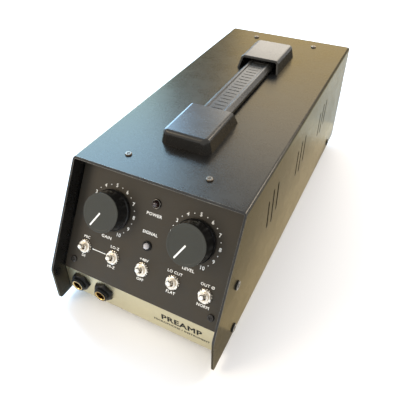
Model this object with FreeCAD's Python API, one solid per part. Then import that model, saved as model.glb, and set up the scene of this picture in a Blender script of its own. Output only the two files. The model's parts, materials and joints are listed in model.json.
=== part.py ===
import FreeCAD, Part
import math
import os
from FreeCAD import Placement, Rotation, Vector

# Desktop microphone preamp in a bent steel case with a strap handle. Millimetres.
# X runs to the right as seen from the front, Y from front to back, Z up.
# The origin is the centre of the footprint, on the surface that the feet stand on.

# ---- driving dimensions ----------------------------------------------------
caseWidth = 122.9        # over the cheeks
caseDepth = 305.0
caseHeight = 100.0       # cheek bottom to top face
coverSheet = 1.5
coverBend = 0.9          # inner bend radius of the cover
kneeHeight = 30.5        # where the front of the cheek starts to lean back
topSetback = 41.3        # how far the top edge stands behind the knee
tipRadius = 3.0
kneeRadius = 9.0
footHeight = 4.4
footRadius = 6.5
footScrewRadius = 1.5

chassisSheet = 1.2
chassisGap = 0.4         # between the chassis and each cheek
stripSetback = 11.3      # front strip behind the cheek fronts
stripTop = 23.6
chassisLift = 0.8        # base underside above the cheek bottoms
flangeHeight = 12.0

panelRecess = 11.4       # face of the front panel behind the leaning cheek edges
panelSheet = 1.6
panelGap = 1.1           # between the panels and each cheek, clear of the cover's bends
panelLow = 0.9           # lower edge, measured up the slope from the knee line
panelFlange = 14.0
rearRecess = 10.0
rearSheet = 1.5
rearFlange = 14.0
sheetBend = 1.0

knobX = 30.9             # each side of the middle
knobUp = 51.1            # up the slope from the knee line
knobRadius = 13.0
knobSkirtRadius = 14.2
knobLength = 13.2
knobStand = 0.5          # air under the knob
shaftRadius = 3.0
shaftFlat = 2.0          # depth of the flat that the set screw seats on
runningGap = 0.05
potBushRadius = 3.5
potBodyRadius = 8.5
bodyDepth = 9.0          # pots, switches and lamps all seat on one board
bushGap = 0.15           # radial clearance of bushings in the panels

switchUp = 20.3
switchPitch = 22.9
switchBushRadius = 3.1
switchBushOut = 3.4      # bushing beyond the panel face
switchBoreRadius = 1.9
switchBodyWidth = 6.8
switchBodyHeight = 12.7
leverLength = 4.6
leverTipRadius = 1.75
leverRootRadius = 1.15
leverTilt = 12.0
nutFlats = 8.5
nutThickness = 2.0

powerLampUp = 65.0
signalLampUp = 36.6
lampBezelRadius = 3.3
lampLensRadius = 2.1

jackX = (-47.3, -27.7)
jackUp = 14.3            # above the cheek bottoms
jackBore = 3.25
jackFerruleRadius = 4.3
jackBushRadius = 5.4
jackBushOut = 5.0
jackLip = 0.6            # gold lip on the front of the bush
jackNutFlats = 13.6
jackNutThickness = 2.6
jackBodyWidth = 15.6
jackBodyDepth = 24.0

topScrewX = 29.5
topScrewFront = 58.3
rearScrewInset = 14.8    # rear top screws ahead of the rear edge
topScrewRadius = 2.3
panelScrewX = 52.6
panelScrewUp = 8.6
sideScrewRadius = 3.2
sideScrews = ((32.2, 47.7), (31.0, 5.4), (caseDepth - 27.4, 6.0))
screwShank = 1.5
screwHead = 1.1

handleStart = 79.5       # closed end of the front cap
handleEnd = 262.0
capLength = 42.5
capWidth = 38.0
capHeight = 10.6
capWall = 1.8
capDraft = 2.2
capFaceDraft = 0.9
strapWidth = 24.0
strapTop = 6.2           # above the cover
strapLift = 0.9
strapRidge = 8.0         # half the distance between the two ridges
coreWidth = 14.0
coreSheet = 1.2
boltRadius = 2.5

boardLift = 8.0          # standoff length
boardSheet = 1.6
boardWidth = 100.0
boardStart = 62.0
boardEnd = 172.0
toroidRadius = 38.0
toroidHeight = 34.0
toroidY = 218.0

slotPitch = 64.6         # between groups of vent slots
slotWidth = 2.6

ventStart = 83.0
ventStep = 9.0
ventSpans = ((51.5, 75.5), (49.5, 79.5), (54.0, 79.5))     # low and high end of each slot of a group

footX = 44.0
footY = (30.0, caseDepth - 30.0)
footTaper = 0.8
footWell = 2.6           # depth of the recess that hides the screw head
footWellRadius = 3.4
footScrewHead = 3.0

bracketSheet = 1.2
bracketDepth = 13.0
bracketSpan = (2.5, 37.0)    # up the slope
bracketLip = 2.3         # foot of the bracket beyond its screw

pointerTurn = -150.0     # at the lowest setting, clockwise from straight up
pointerWidth = 1.0
pointerDepth = 0.3
skirtHeight = 2.4
knobEdge = 0.8
setScrewRadius = 1.5
setScrewUp = 7.6
setScrewLength = 8.0
shaftStop = 2.0          # knob face above the end of the shaft
nutRecess = 7.0
nutRecessDepth = 4.6
potNutFlats = 10.0
potNutThickness = 2.2
potBushOut = 3.9         # bushing beyond the panel face

switchNames = ("source", "impedance", "phantom", "low_cut", "polarity")
nutTurnStep = 17.0       # each nut is tightened to its own angle
pivotOut = 0.9           # lever pivot beyond the panel face
ballRadius = 1.6
leverNeck = 2.5
leverTail = 4.0
leverTailRadius = 0.9

lampBarrel = 2.8
bezelOut = 1.2
bezelFillet = 0.5
lensRise = (0.2, 0.0)    # power, signal

strapInset = 9.0         # each end of the strap inside its cap
strapGroove = 0.8
strapSlide = 3.0         # the strap slides this far each way on its bolts when it is lifted
boltInset = 22.0
boltHead = (4.4, 2.2)    # radius and height
handleNut = (8.0, 3.4)   # flats and height
capMouthRake = 5.0       # how much further the mouth reaches at the foot than at the top
capCorner = 5.0
capSoft = 3.2
coreLift = 2.2

postInset = 5.0
postFlats = 6.0
postScrew = (2.6, 1.8)   # head radius and height
clampBolt = 3.0
clampRadius = 24.0
clampSheet = 1.6
clampHead = (10.0, 4.0)  # flats and height
padSheet = 1.5
toroidBore = 11.0
toroidFillet = 7.0
inputCan = (12.5, 30.0)  # radius and height
inputPlace = (-30.0, 96.0)
outputCore = (36.0, 30.0, 32.0)      # across, along, height
outputWinding = (24.0, 42.0, 26.0)
outputPlace = (24.0, 105.0)
capacitorSize = (8.0, 32.0)          # radius and height
capacitorPlace = (-34.0, 147.0)
capacitorPitch = 21.0
capacitorCount = 4
ribbonUp = 44.0
ribbonWidth = 20.0
ribbonSheet = 1.0
ribbonBend = 6.0
ribbonInset = 8.0        # header behind the front edge of the main board
headerOut = 5.0
headerSize = (24.0, 7.0)

# rear fittings, x to the right as seen from behind
micPlace = (-38.0, 75.0)
linePlace = (-38.0, 38.0)
inletPlace = (20.0, 36.0)
levelPlace = (20.0, 78.0)
rearCorners = ((-53.0, 7.0), (53.0, 7.0))
barrelRadius = 11.5
flangeSize = (26.0, 31.0)
flangeSheet = 2.0
flangeScrews = ((-9.6, 12.0), (9.6, -12.0))
micMouth = 9.4
micInsert = 7.1
insertDrop = 0.6         # face of the insert below the flange
lineMouth = 8.1
pinRing = 4.4
pinRadius = 1.2
pinSlack = 0.1
pinSetback = 1.5         # tips of the pins behind the panel face
socketDepth = 20.0
socketFloor = 5.0
latchWidth = 8.0
latchThick = 3.0
latchUp = 12.4
latchGap = 0.3
latchTravel = 1.6
latchOut = 0.6           # latch beyond the flange when it is pressed
latchTail = 7.0
inletFlange = (50.0, 46.0)
inletBody = (29.0, 41.0)
inletScrewX = 20.0
inletDepth = 24.0
rockerSize = (19.8, 10.0)
rockerUp = 11.6          # above the middle of the inlet
rockerPivot = -2.6
rockerTilt = 7.0
rockerPin = 1.0
wellGap = (1.1, 0.3)     # round the rocker, across and up
wellDepth = 9.0
mouthSize = (24.6, 16.6)
mouthDrop = -8.2
mouthChamfer = 5.0
mouthDepth = 16.0
bladeX = 7.0
bladeSize = (2.0, 4.0)
bladeSetback = 3.0
levelBody = (17.0, 8.0, 7.0)
levelSlot = (9.4, 4.6)
levelNub = (3.2, 3.4)
levelTravel = 3.0
levelOut = 2.2           # nub beyond the panel face
levelWall = 1.0
levelWell = 4.0

midY = caseDepth / 2.0
half = caseWidth / 2.0
inner = half - coverSheet
tilt = math.degrees(math.atan2(topSetback, caseHeight - kneeHeight))
slopeY = math.sin(math.radians(tilt))
slopeZ = math.cos(math.radians(tilt))
rearFace = caseDepth - rearRecess
topScrewY = (topScrewFront, caseDepth - rearScrewInset)
underTop = caseHeight - coverSheet

os.makedirs("parts", exist_ok=True)
home = Placement(Vector(0, -midY, footHeight), Rotation())


# ---- shapes ----------------------------------------------------------------
def box(x0, x1, y0, y1, z0, z1):
    return Part.makeBox(x1 - x0, y1 - y0, z1 - z0, Vector(x0, y0, z0))


def rod(radius, x, y, z0, z1):
    return Part.makeCylinder(radius, z1 - z0, Vector(x, y, z0))


def ring(outer, bore, x, y, z0, z1):
    return rod(outer, x, y, z0, z1).cut(rod(bore, x, y, z0 - 1, z1 + 1))


def hexagon(flats, x, y, z0, z1, turn=0.0):
    corner = flats / math.sqrt(3)
    points = []
    for k in range(7):
        angle = math.radians(turn + 60 * k)
        points.append(Vector(x + corner * math.cos(angle), y + corner * math.sin(angle), z0))
    return Part.Face(Part.makePolygon(points)).extrude(Vector(0, 0, z1 - z0))


def lift(plane, u, v, w=0.0):
    if plane == "yz":
        return Vector(w, u, v)
    if plane == "xz":
        return Vector(u, w, v)
    return Vector(u, v, w)


def prism(corners, plane, low, high):
    """A closed outline, each corner (u, v, radius), drawn out between two planes."""
    count = len(corners)
    ends = []
    for k in range(count):
        here = Vector(corners[k][0], corners[k][1], 0)
        before = Vector(corners[k - 1][0], corners[k - 1][1], 0) - here
        after = Vector(corners[(k + 1) % count][0], corners[(k + 1) % count][1], 0) - here
        radius = corners[k][2]
        if radius <= 0:
            ends.append((here, None, here))
            continue
        before.normalize()
        after.normalize()
        opening = before.getAngle(after)
        reach = radius / math.tan(opening / 2)
        middle = before + after
        middle.normalize()
        centre = here + middle * (radius / math.sin(opening / 2))
        ends.append((here + before * reach, centre - middle * radius, here + after * reach))
    edges = []
    for k in range(count):
        start, arc, stop = ends[k]
        following = ends[(k + 1) % count][0]
        if arc is not None:
            points = [lift(plane, p.x, p.y, low) for p in (start, arc, stop)]
            edges.append(Part.Arc(*points).toShape())
        if stop.distanceToPoint(following) > 1e-6:
            edges.append(Part.LineSegment(lift(plane, stop.x, stop.y, low),
                                          lift(plane, following.x, following.y, low)).toShape())
    face = Part.Face(Part.Wire(edges))
    return face.extrude(lift(plane, 0, 0, high - low))


def rectangle(u0, u1, v0, v1, radius):
    return [(u0, v0, radius), (u1, v0, radius), (u1, v1, radius), (u0, v1, radius)]


def bentSheet(path, thickness, bend, plane, low, high):
    """Sheet whose outer face follows the path; the metal lies to the left of it."""
    outer = []
    innerSide = []
    last = len(path) - 1
    for k, (u, v) in enumerate(path):
        here = Vector(u, v, 0)
        ahead = (Vector(*path[k + 1], 0) - here) if k < last else (here - Vector(*path[k - 1], 0))
        behind = (here - Vector(*path[k - 1], 0)) if k > 0 else ahead
        ahead.normalize()
        behind.normalize()
        leftAhead = Vector(-ahead.y, ahead.x, 0)
        leftBehind = Vector(-behind.y, behind.x, 0)
        middle = leftAhead + leftBehind
        middle.normalize()
        inside = here + middle * (thickness / middle.dot(leftAhead))
        turnsLeft = behind.cross(ahead).z > 0
        corner = 0 < k < last
        outerRadius = (bend + thickness if turnsLeft else bend) if corner else 0
        innerRadius = (bend if turnsLeft else bend + thickness) if corner else 0
        outer.append((u, v, outerRadius))
        innerSide.append((inside.x, inside.y, innerRadius))
    return prism(outer + innerSide[::-1], plane, low, high)


def panHead(radius, head, shank, length, x, y, z):
    """Screw whose head stands on z and whose shank runs down from it."""
    screw = rod(radius, x, y, z, z + head).fuse(rod(shank, x, y, z - length, z))
    rim = [e for e in screw.Edges if abs(e.BoundBox.ZMin - z - head) < 1e-6 and e.BoundBox.ZLength < 1e-6]
    screw = screw.makeFillet(head * 0.5, rim)
    arm = radius * 0.55
    slot = radius * 0.13
    deep = head * 0.55
    for across, along in ((arm, slot), (slot, arm)):
        screw = screw.cut(box(x - across, x + across, y - along, y + along, z + head - deep, z + head + 1))
    return screw.removeSplitter()


def group(solids):
    return Part.makeCompound(solids)


# ---- local frames: x right, y up, z outward --------------------------------
panelFrame = Placement(Vector(0, panelRecess * slopeZ, kneeHeight - panelRecess * slopeY),
                       Rotation(Vector(1, 0, 0), Vector(0, slopeY, slopeZ), Vector(0, -slopeZ, slopeY)))
stripFrame = Placement(Vector(0, stripSetback, 0),
                       Rotation(Vector(1, 0, 0), Vector(0, 0, 1), Vector(0, -1, 0)))
rearFrame = Placement(Vector(0, rearFace, 0),
                      Rotation(Vector(-1, 0, 0), Vector(0, 0, 1), Vector(0, 1, 0)))
sideFrames = {1: Rotation(Vector(0, 1, 0), Vector(0, 0, 1), Vector(1, 0, 0)),
              -1: Rotation(Vector(0, -1, 0), Vector(0, 0, 1), Vector(-1, 0, 0))}


def placed(shape, frame):
    moved = shape.copy()
    moved.Placement = frame.multiply(moved.Placement)
    return moved


def sideScrew(side, y, z):
    screw = panHead(sideScrewRadius, screwHead, screwShank, 6.0, 0, 0, 0)
    return placed(screw, Placement(Vector(side * half, y, z), sideFrames[side]))


def throughX(radius, y, z):
    return Part.makeCylinder(radius, caseWidth + 20, Vector(-half - 10, y, z), Vector(1, 0, 0))


# ---- case ------------------------------------------------------------------
cheekOutline = [(0, 0, tipRadius), (0, kneeHeight, kneeRadius), (topSetback, caseHeight, 0),
                (caseDepth, caseHeight, 0), (caseDepth, 0, tipRadius)]
boltPlaces = (handleStart + boltInset, handleEnd - boltInset)
chassisHalf = inner - chassisGap
baseTop = chassisLift + chassisSheet
rearInner = rearFace - rearSheet
footPlaces = [(x, y) for x in (-footX, footX) for y in footY]
postX = boardWidth / 2 - postInset
postPlaces = [(x, y) for x in (-postX, postX) for y in (boardStart + postInset, boardEnd - postInset)]


def outerCover():
    shell = bentSheet([(half, 0), (half, caseHeight), (-half, caseHeight), (-half, 0)],
                      coverSheet, coverBend, "xz", 0, caseDepth)
    cover = shell.common(prism(cheekOutline, "yz", -half - 1, half + 1))
    cuts = []
    for g in range(3):
        for k, (low, high) in enumerate(ventSpans):
            y = ventStart + g * slotPitch + k * ventStep
            ends = slotWidth / 2
            cuts.append(prism(rectangle(y - ends, y + ends, low, high, ends), "yz", -half - 5, half + 5))
    for y in topScrewY:
        for x in (-topScrewX, topScrewX):
            cuts.append(rod(screwShank + bushGap, x, y, underTop - 5, caseHeight + 5))
    for y in boltPlaces:
        cuts.append(rod(boltRadius + bushGap, 0, y, underTop - 5, caseHeight + 5))
    for y, z in sideScrews:
        cuts.append(throughX(screwShank + bushGap, y, z))
    return cover.cut(cuts)


def chassis():
    tray = bentSheet([(stripSetback, stripTop), (stripSetback, chassisLift), (rearInner, chassisLift),
                      (rearInner, chassisLift + flangeHeight)],
                     chassisSheet, sheetBend, "yz", -chassisHalf, chassisHalf)
    relief = 5.0
    sides = bentSheet([(-chassisHalf, chassisLift + flangeHeight), (-chassisHalf, chassisLift),
                       (chassisHalf, chassisLift), (chassisHalf, chassisLift + flangeHeight)],
                      chassisSheet, sheetBend, "xz", stripSetback + relief, rearInner - relief)
    pan = tray.fuse(sides).removeSplitter()
    cuts = [placed(rod(jackBushRadius + bushGap, x, jackUp, -20, 20), stripFrame) for x in jackX]
    cuts += [rod(footScrewRadius, x, y, -5, 10) for x, y in footPlaces]
    cuts += [rod(screwShank, x, y, -5, 10) for x, y in postPlaces]
    cuts += [rod(clampBolt, 0, toroidY, -5, 10)]
    cuts += [throughX(screwShank, y, z) for y, z in sideScrews[1:]]
    cuts += [placed(rod(screwShank, x, z, -20, 5), rearFrame) for x, z in rearCorners]
    return pan.cut(cuts)


def frontPanel():
    faceLow = panelFrame.multVec(Vector(0, panelLow, 0))
    reach = (underTop - panelFrame.Base.z) / slopeZ
    faceTop = panelFrame.multVec(Vector(0, reach, 0))
    plate = bentSheet([(faceTop.y + panelFlange, underTop), (faceTop.y, underTop), (faceLow.y, faceLow.z)],
                      panelSheet, sheetBend, "yz", panelGap - inner, inner - panelGap)
    holes = [rod(potBushRadius + bushGap, x, knobUp, -20, 20) for x in (-knobX, knobX)]
    holes += [rod(switchBushRadius + bushGap, x, switchUp, -20, 20) for x in switchX]
    holes += [rod(lampBarrel + bushGap, 0, up, -20, 20) for up in (powerLampUp, signalLampUp)]
    holes += [rod(screwShank + bushGap, x, panelScrewUp, -20, 20) for x in (-panelScrewX, panelScrewX)]
    cuts = [placed(hole, panelFrame) for hole in holes]
    cuts += [rod(screwShank, x, topScrewY[0], underTop - 5, underTop + 5) for x in (-topScrewX, topScrewX)]
    return plate.cut(cuts)


def panelBrackets():
    brackets = []
    low, high = bracketSpan
    for side in (-1, 1):
        ends = sorted((side * (panelScrewX - bracketLip), side * inner))
        wall = sorted((side * (inner - bracketSheet), side * inner))
        foot = box(ends[0], ends[1], low, high, -panelSheet - bracketSheet, -panelSheet)
        leg = box(wall[0], wall[1], low, high, -panelSheet - bracketDepth, -panelSheet)
        bracket = placed(foot.fuse(leg).removeSplitter(), panelFrame)
        screw = placed(rod(screwShank, side * panelScrewX, panelScrewUp, -20, 20), panelFrame)
        brackets.append(bracket.cut([screw, throughX(screwShank, *sideScrews[0])]))
    return group(brackets)


def rearPanel():
    plate = bentSheet([(rearFace, 1.5), (rearFace, underTop), (rearFace - rearFlange, underTop)],
                      rearSheet, sheetBend, "yz", panelGap - inner, inner - panelGap)
    holes = []
    for x, z in (micPlace, linePlace):
        holes.append(rod(barrelRadius + bushGap, x, z, -20, 20))
        holes += [rod(screwShank, x + dx, z + dz, -20, 20) for dx, dz in flangeScrews]
    latchHalf = latchWidth / 2 + 2 * latchGap
    top = micPlace[1] + latchUp + latchThick / 2 + 2 * latchGap
    holes.append(box(micPlace[0] - latchHalf, micPlace[0] + latchHalf, micPlace[1], top, -20, 20))
    x, z = inletPlace
    wide, tall = inletBody[0] / 2 + bushGap, inletBody[1] / 2 + bushGap
    holes.append(box(x - wide, x + wide, z - tall, z + tall, -20, 20))
    holes += [rod(screwShank, x + dx, z, -20, 20) for dx in (-inletScrewX, inletScrewX)]
    x, z = levelPlace
    wide, tall = levelSlot[0] / 2, levelSlot[1] / 2
    holes.append(box(x - wide, x + wide, z - tall, z + tall, -20, 20))
    holes += [rod(screwShank + bushGap, x, z, -20, 20) for x, z in rearCorners]
    cuts = [placed(hole, rearFrame) for hole in holes]
    cuts += [rod(screwShank, x, topScrewY[1], underTop - 5, underTop + 5) for x in (-topScrewX, topScrewX)]
    return plate.cut(cuts)


def caseScrews():
    screw = panHead(topScrewRadius, screwHead, screwShank, 5.0, 0, 0, 0)
    onTop = [placed(screw, Placement(Vector(x, y, caseHeight), Rotation()))
             for y in topScrewY for x in (-topScrewX, topScrewX)]
    onPanel = [placed(screw, panelFrame.multiply(Placement(Vector(x, panelScrewUp, 0), Rotation())))
               for x in (-panelScrewX, panelScrewX)]
    return group(onTop + onPanel)


def sideScrewSet():
    return group([sideScrew(side, y, z) for side in (-1, 1) for y, z in sideScrews])


def rubberFeet():
    feet = []
    for x, y in footPlaces:
        foot = Part.makeCone(footRadius - footTaper, footRadius, footHeight + chassisLift,
                             Vector(x, y, -footHeight))
        well = rod(footWellRadius, x, y, -footHeight - 1, footWell - footHeight)
        feet.append(foot.cut([well, rod(footScrewRadius, x, y, -footHeight, 5)]))
    return group(feet)


def footScrews():
    upside = Rotation(Vector(1, 0, 0), 180)
    screw = panHead(footScrewHead, screwHead, footScrewRadius, 6.0, 0, 0, 0)
    seat = footWell - footHeight
    return group([placed(screw, Placement(Vector(x, y, seat), upside)) for x, y in footPlaces])


# ---- knobs and pots --------------------------------------------------------
knobTop = knobStand + knobLength


def potShaft(x):
    low = -panelSheet - bodyDepth + 1.2
    shaft = rod(shaftRadius, x, knobUp, low, knobTop - shaftStop)
    seat = knobUp + shaftRadius - shaftFlat
    flat = box(x - 5, x + 5, seat, knobUp + 5, knobStand + nutRecessDepth, knobTop)
    return shaft.cut(flat)


def knobScrew(x):
    seat = knobUp + shaftRadius - shaftFlat
    screw = Part.makeCylinder(setScrewRadius, setScrewLength, Vector(x, seat, setScrewUp), Vector(0, 1, 0))
    outerEnd = Placement(Vector(x, seat + setScrewLength, setScrewUp), Rotation(Vector(1, 0, 0), 90))
    return screw.cut(placed(hexagon(setScrewRadius, 0, 0, 0, 2.0), outerEnd))


def knob(x):
    skirtTop = knobStand + skirtHeight
    profile = [(0, knobStand), (knobSkirtRadius, knobStand), (knobSkirtRadius, skirtTop),
               (knobRadius + 0.5, skirtTop + 1.0), (knobRadius, knobTop - knobEdge),
               (knobRadius - knobEdge, knobTop), (0, knobTop), (0, knobStand)]
    outline = Part.makePolygon([Vector(radius, 0, up) for radius, up in profile])
    body = Part.Face(outline).revolve(Vector(0, 0, 0), Vector(0, 0, 1), 360)
    body.translate(Vector(x, knobUp, 0))
    body = body.cut(rod(nutRecess, x, knobUp, knobStand - 1, knobStand + nutRecessDepth))
    reach = knobRadius - knobEdge - 0.1
    pointer = box(-pointerWidth / 2, pointerWidth / 2, 0, reach, knobTop - pointerDepth, knobTop + 1)
    pointer = placed(pointer, Placement(Vector(x, knobUp, 0), Rotation(Vector(0, 0, 1), -pointerTurn)))
    drill = Part.makeCylinder(setScrewRadius, 30, Vector(x, knobUp, setScrewUp), Vector(0, 1, 0))
    return body.cut([potShaft(x), pointer, drill.cut(potShaft(x))])


def pot(x):
    back = -panelSheet
    body = rod(potBodyRadius, x, knobUp, back - bodyDepth, back)
    body = body.fuse(rod(potBushRadius, x, knobUp, back, potBushOut))
    tail = knobUp - potBodyRadius - 3
    body = body.fuse(box(x - 5.5, x + 5.5, tail, knobUp, back - bodyDepth + 1, back - bodyDepth + 3))
    return body.cut(rod(shaftRadius + runningGap, x, knobUp, back - bodyDepth + 0.8, 20)).removeSplitter()


def potNuts():
    nuts = []
    for x in (-knobX, knobX):
        nut = hexagon(potNutFlats, x, knobUp, 0, potNutThickness)
        nuts.append(placed(nut.cut(rod(potBushRadius, x, knobUp, -1, 10)), panelFrame))
    return group(nuts)


# ---- toggle switches -------------------------------------------------------
switchX = [(k - 2) * switchPitch for k in range(len(switchNames))]


def switchBody(x):
    back = -panelSheet
    wide, tall = switchBodyWidth / 2, switchBodyHeight / 2
    body = box(x - wide, x + wide, switchUp - tall, switchUp + tall, back - bodyDepth, back)
    body = body.fuse(rod(switchBushRadius, x, switchUp, back, switchBushOut))
    bore = rod(switchBoreRadius, x, switchUp, back - 1, 20)
    cavity = rod(switchBushRadius - 0.5, x, switchUp, pivotOut - leverTail - 0.8, back)
    return body.cut([bore, cavity]).removeSplitter()


def switchLever(x):
    tip = switchBushOut - pivotOut + leverLength
    lever = Part.makeSphere(ballRadius)
    ball = tip - leverTipRadius
    lever = lever.fuse(rod(leverRootRadius, 0, 0, 0, leverNeck))
    lever = lever.fuse(Part.makeCone(leverRootRadius, leverTipRadius, ball - leverNeck,
                                     Vector(0, 0, leverNeck)))
    lever = lever.fuse(Part.makeSphere(leverTipRadius, Vector(0, 0, ball)))
    lever = lever.fuse(rod(leverTailRadius, 0, 0, -leverTail, 0))
    return placed(lever, Placement(Vector(x, switchUp, pivotOut), Rotation(Vector(1, 0, 0), -leverTilt)))


def switchNuts():
    nuts = []
    for k, x in enumerate(switchX):
        nut = hexagon(nutFlats, x, switchUp, 0, nutThickness, nutTurnStep * (k + 0.5))
        dome = Part.makeCone(nutFlats * 0.66, nutFlats * 0.42, nutThickness, Vector(x, switchUp, 0))
        nut = nut.common(dome).cut(rod(switchBushRadius, x, switchUp, -1, 10))
        nuts.append(placed(nut, panelFrame))
    return group(nuts)


# ---- lamps -----------------------------------------------------------------
def lampBezel(up):
    bezel = rod(lampBezelRadius, 0, up, 0, bezelOut)
    rim = [e for e in bezel.Edges if abs(e.BoundBox.ZMin - bezelOut) < 1e-6 and e.BoundBox.ZLength < 1e-6]
    bezel = bezel.makeFillet(bezelFillet, rim).fuse(rod(lampBarrel, 0, up, -panelSheet - bodyDepth, 0))
    return placed(bezel.cut(rod(lampLensRadius, 0, up, -20, 20)).removeSplitter(), panelFrame)


def lampLens(up, rise):
    lens = rod(lampLensRadius, 0, up, -panelSheet - bodyDepth, bezelOut + rise)
    lens = lens.fuse(Part.makeSphere(lampLensRadius, Vector(0, up, bezelOut + rise))).removeSplitter()
    return placed(lens, panelFrame)


def controlBoard():
    back = -panelSheet - bodyDepth
    board = box(-switchX[-1] - 8, switchX[-1] + 8, switchUp - 9, powerLampUp + 8, back - boardSheet, back)
    wide, tall = headerSize[0] / 2, headerSize[1] / 2
    header = box(-wide, wide, ribbonUp - tall, ribbonUp + tall, back - boardSheet - headerOut,
                 back - boardSheet)
    return placed(board.fuse(header).removeSplitter(), panelFrame)


# ---- jacks -----------------------------------------------------------------
def jackBody(x):
    back = -chassisSheet
    wide = jackBodyWidth / 2
    body = box(x - wide, x + wide, jackUp - wide, jackUp + wide, back - jackBodyDepth, back)
    body = body.fuse(rod(jackBushRadius, x, jackUp, back, jackBushOut - jackLip))
    body = body.cut(rod(jackBore, x, jackUp, back - jackBodyDepth + 2, 20))
    return placed(body.cut(jackFerrule(x)).removeSplitter(), stripFrame)


def jackFerrule(x):
    sleeve = rod(jackFerruleRadius, x, jackUp, -chassisSheet - 6, jackBushOut)
    lip = rod(jackFerruleRadius + 0.4, x, jackUp, jackBushOut - jackLip, jackBushOut)
    return sleeve.fuse(lip).cut(rod(jackBore, x, jackUp, -30, 20)).removeSplitter()


def jackNuts():
    nuts = []
    for k, x in enumerate(jackX):
        nut = hexagon(jackNutFlats, x, jackUp, 0, jackNutThickness, 20.0 * k)
        dome = Part.makeCone(jackNutFlats * 0.62, jackNutFlats * 0.47, jackNutThickness, Vector(x, jackUp, 0))
        nuts.append(placed(nut.common(dome).cut(rod(jackBushRadius, x, jackUp, -1, 10)), stripFrame))
    return group(nuts)


# ---- handle ----------------------------------------------------------------
def capBlock(shrink):
    top = caseHeight + capHeight - shrink
    wide = capWidth / 2 - shrink
    start = handleStart + shrink
    mouth = handleStart + capLength + (30.0 if shrink else 0.0)
    floor = caseHeight - (5.0 if shrink else 0.0)
    soft = capSoft - shrink * 0.7
    corner = capCorner - shrink
    slant = wide - capDraft
    across = prism([(-wide, floor, 0), (wide, floor, 0), (slant, top, soft), (-slant, top, soft)],
                   "xz", handleStart - 10, handleEnd)
    along = prism([(start, floor, 0), (mouth + capMouthRake, floor, 0), (mouth, top, 0),
                   (start + capFaceDraft, top, soft)], "yz", -capWidth, capWidth)
    plan = prism([(-wide, start, corner), (wide, start, corner), (wide, handleEnd, 0), (-wide, handleEnd, 0)],
                 "xy", floor, top)
    return across.common(along).common(plan)


def frontCap():
    return capBlock(0).cut(capBlock(capWall))


def rearCap():
    return frontCap().mirror(Vector(0, (handleStart + handleEnd) / 2, 0), Vector(0, 1, 0))


strapStart = handleStart + strapInset
strapEnd = handleEnd - strapInset


def boltSlots():
    radius = boltRadius + 2 * bushGap
    reach = strapSlide + radius
    top = caseHeight + 2 * strapTop
    return [prism(rectangle(-radius, radius, y - reach, y + reach, radius), "xy", caseHeight, top)
            for y in boltPlaces]


def coreBar():
    low = caseHeight + coreLift
    return box(-coreWidth / 2, coreWidth / 2, strapStart + 2, strapEnd - 2, low, low + coreSheet)


def handleCore():
    return coreBar().cut(boltSlots())


def handleStrap():
    low = caseHeight + strapLift
    top = caseHeight + strapTop
    edge = strapWidth / 2
    rightSide = [(edge, low, 1.0), (edge - 0.5, low + 2.6, 1.2), (strapRidge + 0.7, top, 0.7),
                 (strapRidge - 0.8, top, 0.4), (strapRidge - 1.5, top - strapGroove, 0.3)]
    leftSide = [(-x, z, r) for x, z, r in reversed(rightSide)]
    strap = prism(rightSide + leftSide, "xz", strapStart, strapEnd)
    return strap.cut(boltSlots() + [coreBar()])


def handleBolts():
    solids = []
    seat = caseHeight + strapTop - strapGroove
    flats, height = handleNut
    for y in boltPlaces:
        solids.append(panHead(*boltHead, boltRadius, seat - underTop + height + 2, 0, y, seat))
        nut = hexagon(flats, 0, y, underTop - height, underTop)
        solids.append(nut.cut(rod(boltRadius, 0, y, underTop - 10, underTop + 5)))
    return group(solids)


# ---- inside ----------------------------------------------------------------
boardLow = baseTop + boardLift
boardTop = boardLow + boardSheet
ribbonEnd = boardStart + ribbonInset


def mainBoard():
    board = box(-boardWidth / 2, boardWidth / 2, boardStart, boardEnd, boardLow, boardTop)
    wide, deep = headerSize[0] / 2, headerSize[1] / 2
    header = box(-wide, wide, ribbonEnd - deep, ribbonEnd + deep, boardTop, boardTop + headerOut)
    return board.fuse(header).removeSplitter().cut([rod(screwShank, x, y, 0, 30) for x, y in postPlaces])


def boardPosts():
    posts = []
    for x, y in postPlaces:
        posts.append(hexagon(postFlats, x, y, baseTop, boardLow).cut(rod(screwShank, x, y, 0, 30)))
        posts.append(panHead(*postScrew, screwShank, 5.0, x, y, boardTop))
    return group(posts)


def powerTransformer():
    low = baseTop + padSheet
    winding = ring(toroidRadius, toroidBore, 0, toroidY, low, low + toroidHeight)
    rim = [e for e in winding.Edges if e.BoundBox.ZLength < 1e-6 and e.BoundBox.XLength > 2 * clampRadius]
    pad = ring(toroidRadius - 6, clampBolt, 0, toroidY, baseTop, low)
    return group([winding.makeFillet(toroidFillet, rim), pad])


def transformerClamp():
    top = baseTop + padSheet + toroidHeight
    plate = ring(clampRadius, clampBolt, 0, toroidY, top, top + clampSheet)
    flats, height = clampHead
    shank = rod(clampBolt, 0, toroidY, chassisLift, top + clampSheet)
    head = hexagon(flats, 0, toroidY, top + clampSheet, top + clampSheet + height)
    return group([plate, head.fuse(shank).removeSplitter()])


def can(radius, height, fillet, x, y):
    body = rod(radius, x, y, boardTop, boardTop + height)
    top = boardTop + height
    rim = [e for e in body.Edges if abs(e.BoundBox.ZMin - top) < 1e-6 and e.BoundBox.ZLength < 1e-6]
    return body.makeFillet(fillet, rim)


def block(size, x, y, low):
    across, along, height = size
    return box(x - across / 2, x + across / 2, y - along / 2, y + along / 2, low, low + height)


def outputTransformer():
    lift = (outputCore[2] - outputWinding[2]) / 2
    core = block(outputCore, *outputPlace, boardTop)
    return core.fuse(block(outputWinding, *outputPlace, boardTop + lift)).removeSplitter()


def filterCapacitors():
    x, y = capacitorPlace
    return group([can(*capacitorSize, 1.0, x + capacitorPitch * k, y) for k in range(capacitorCount)])


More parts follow.
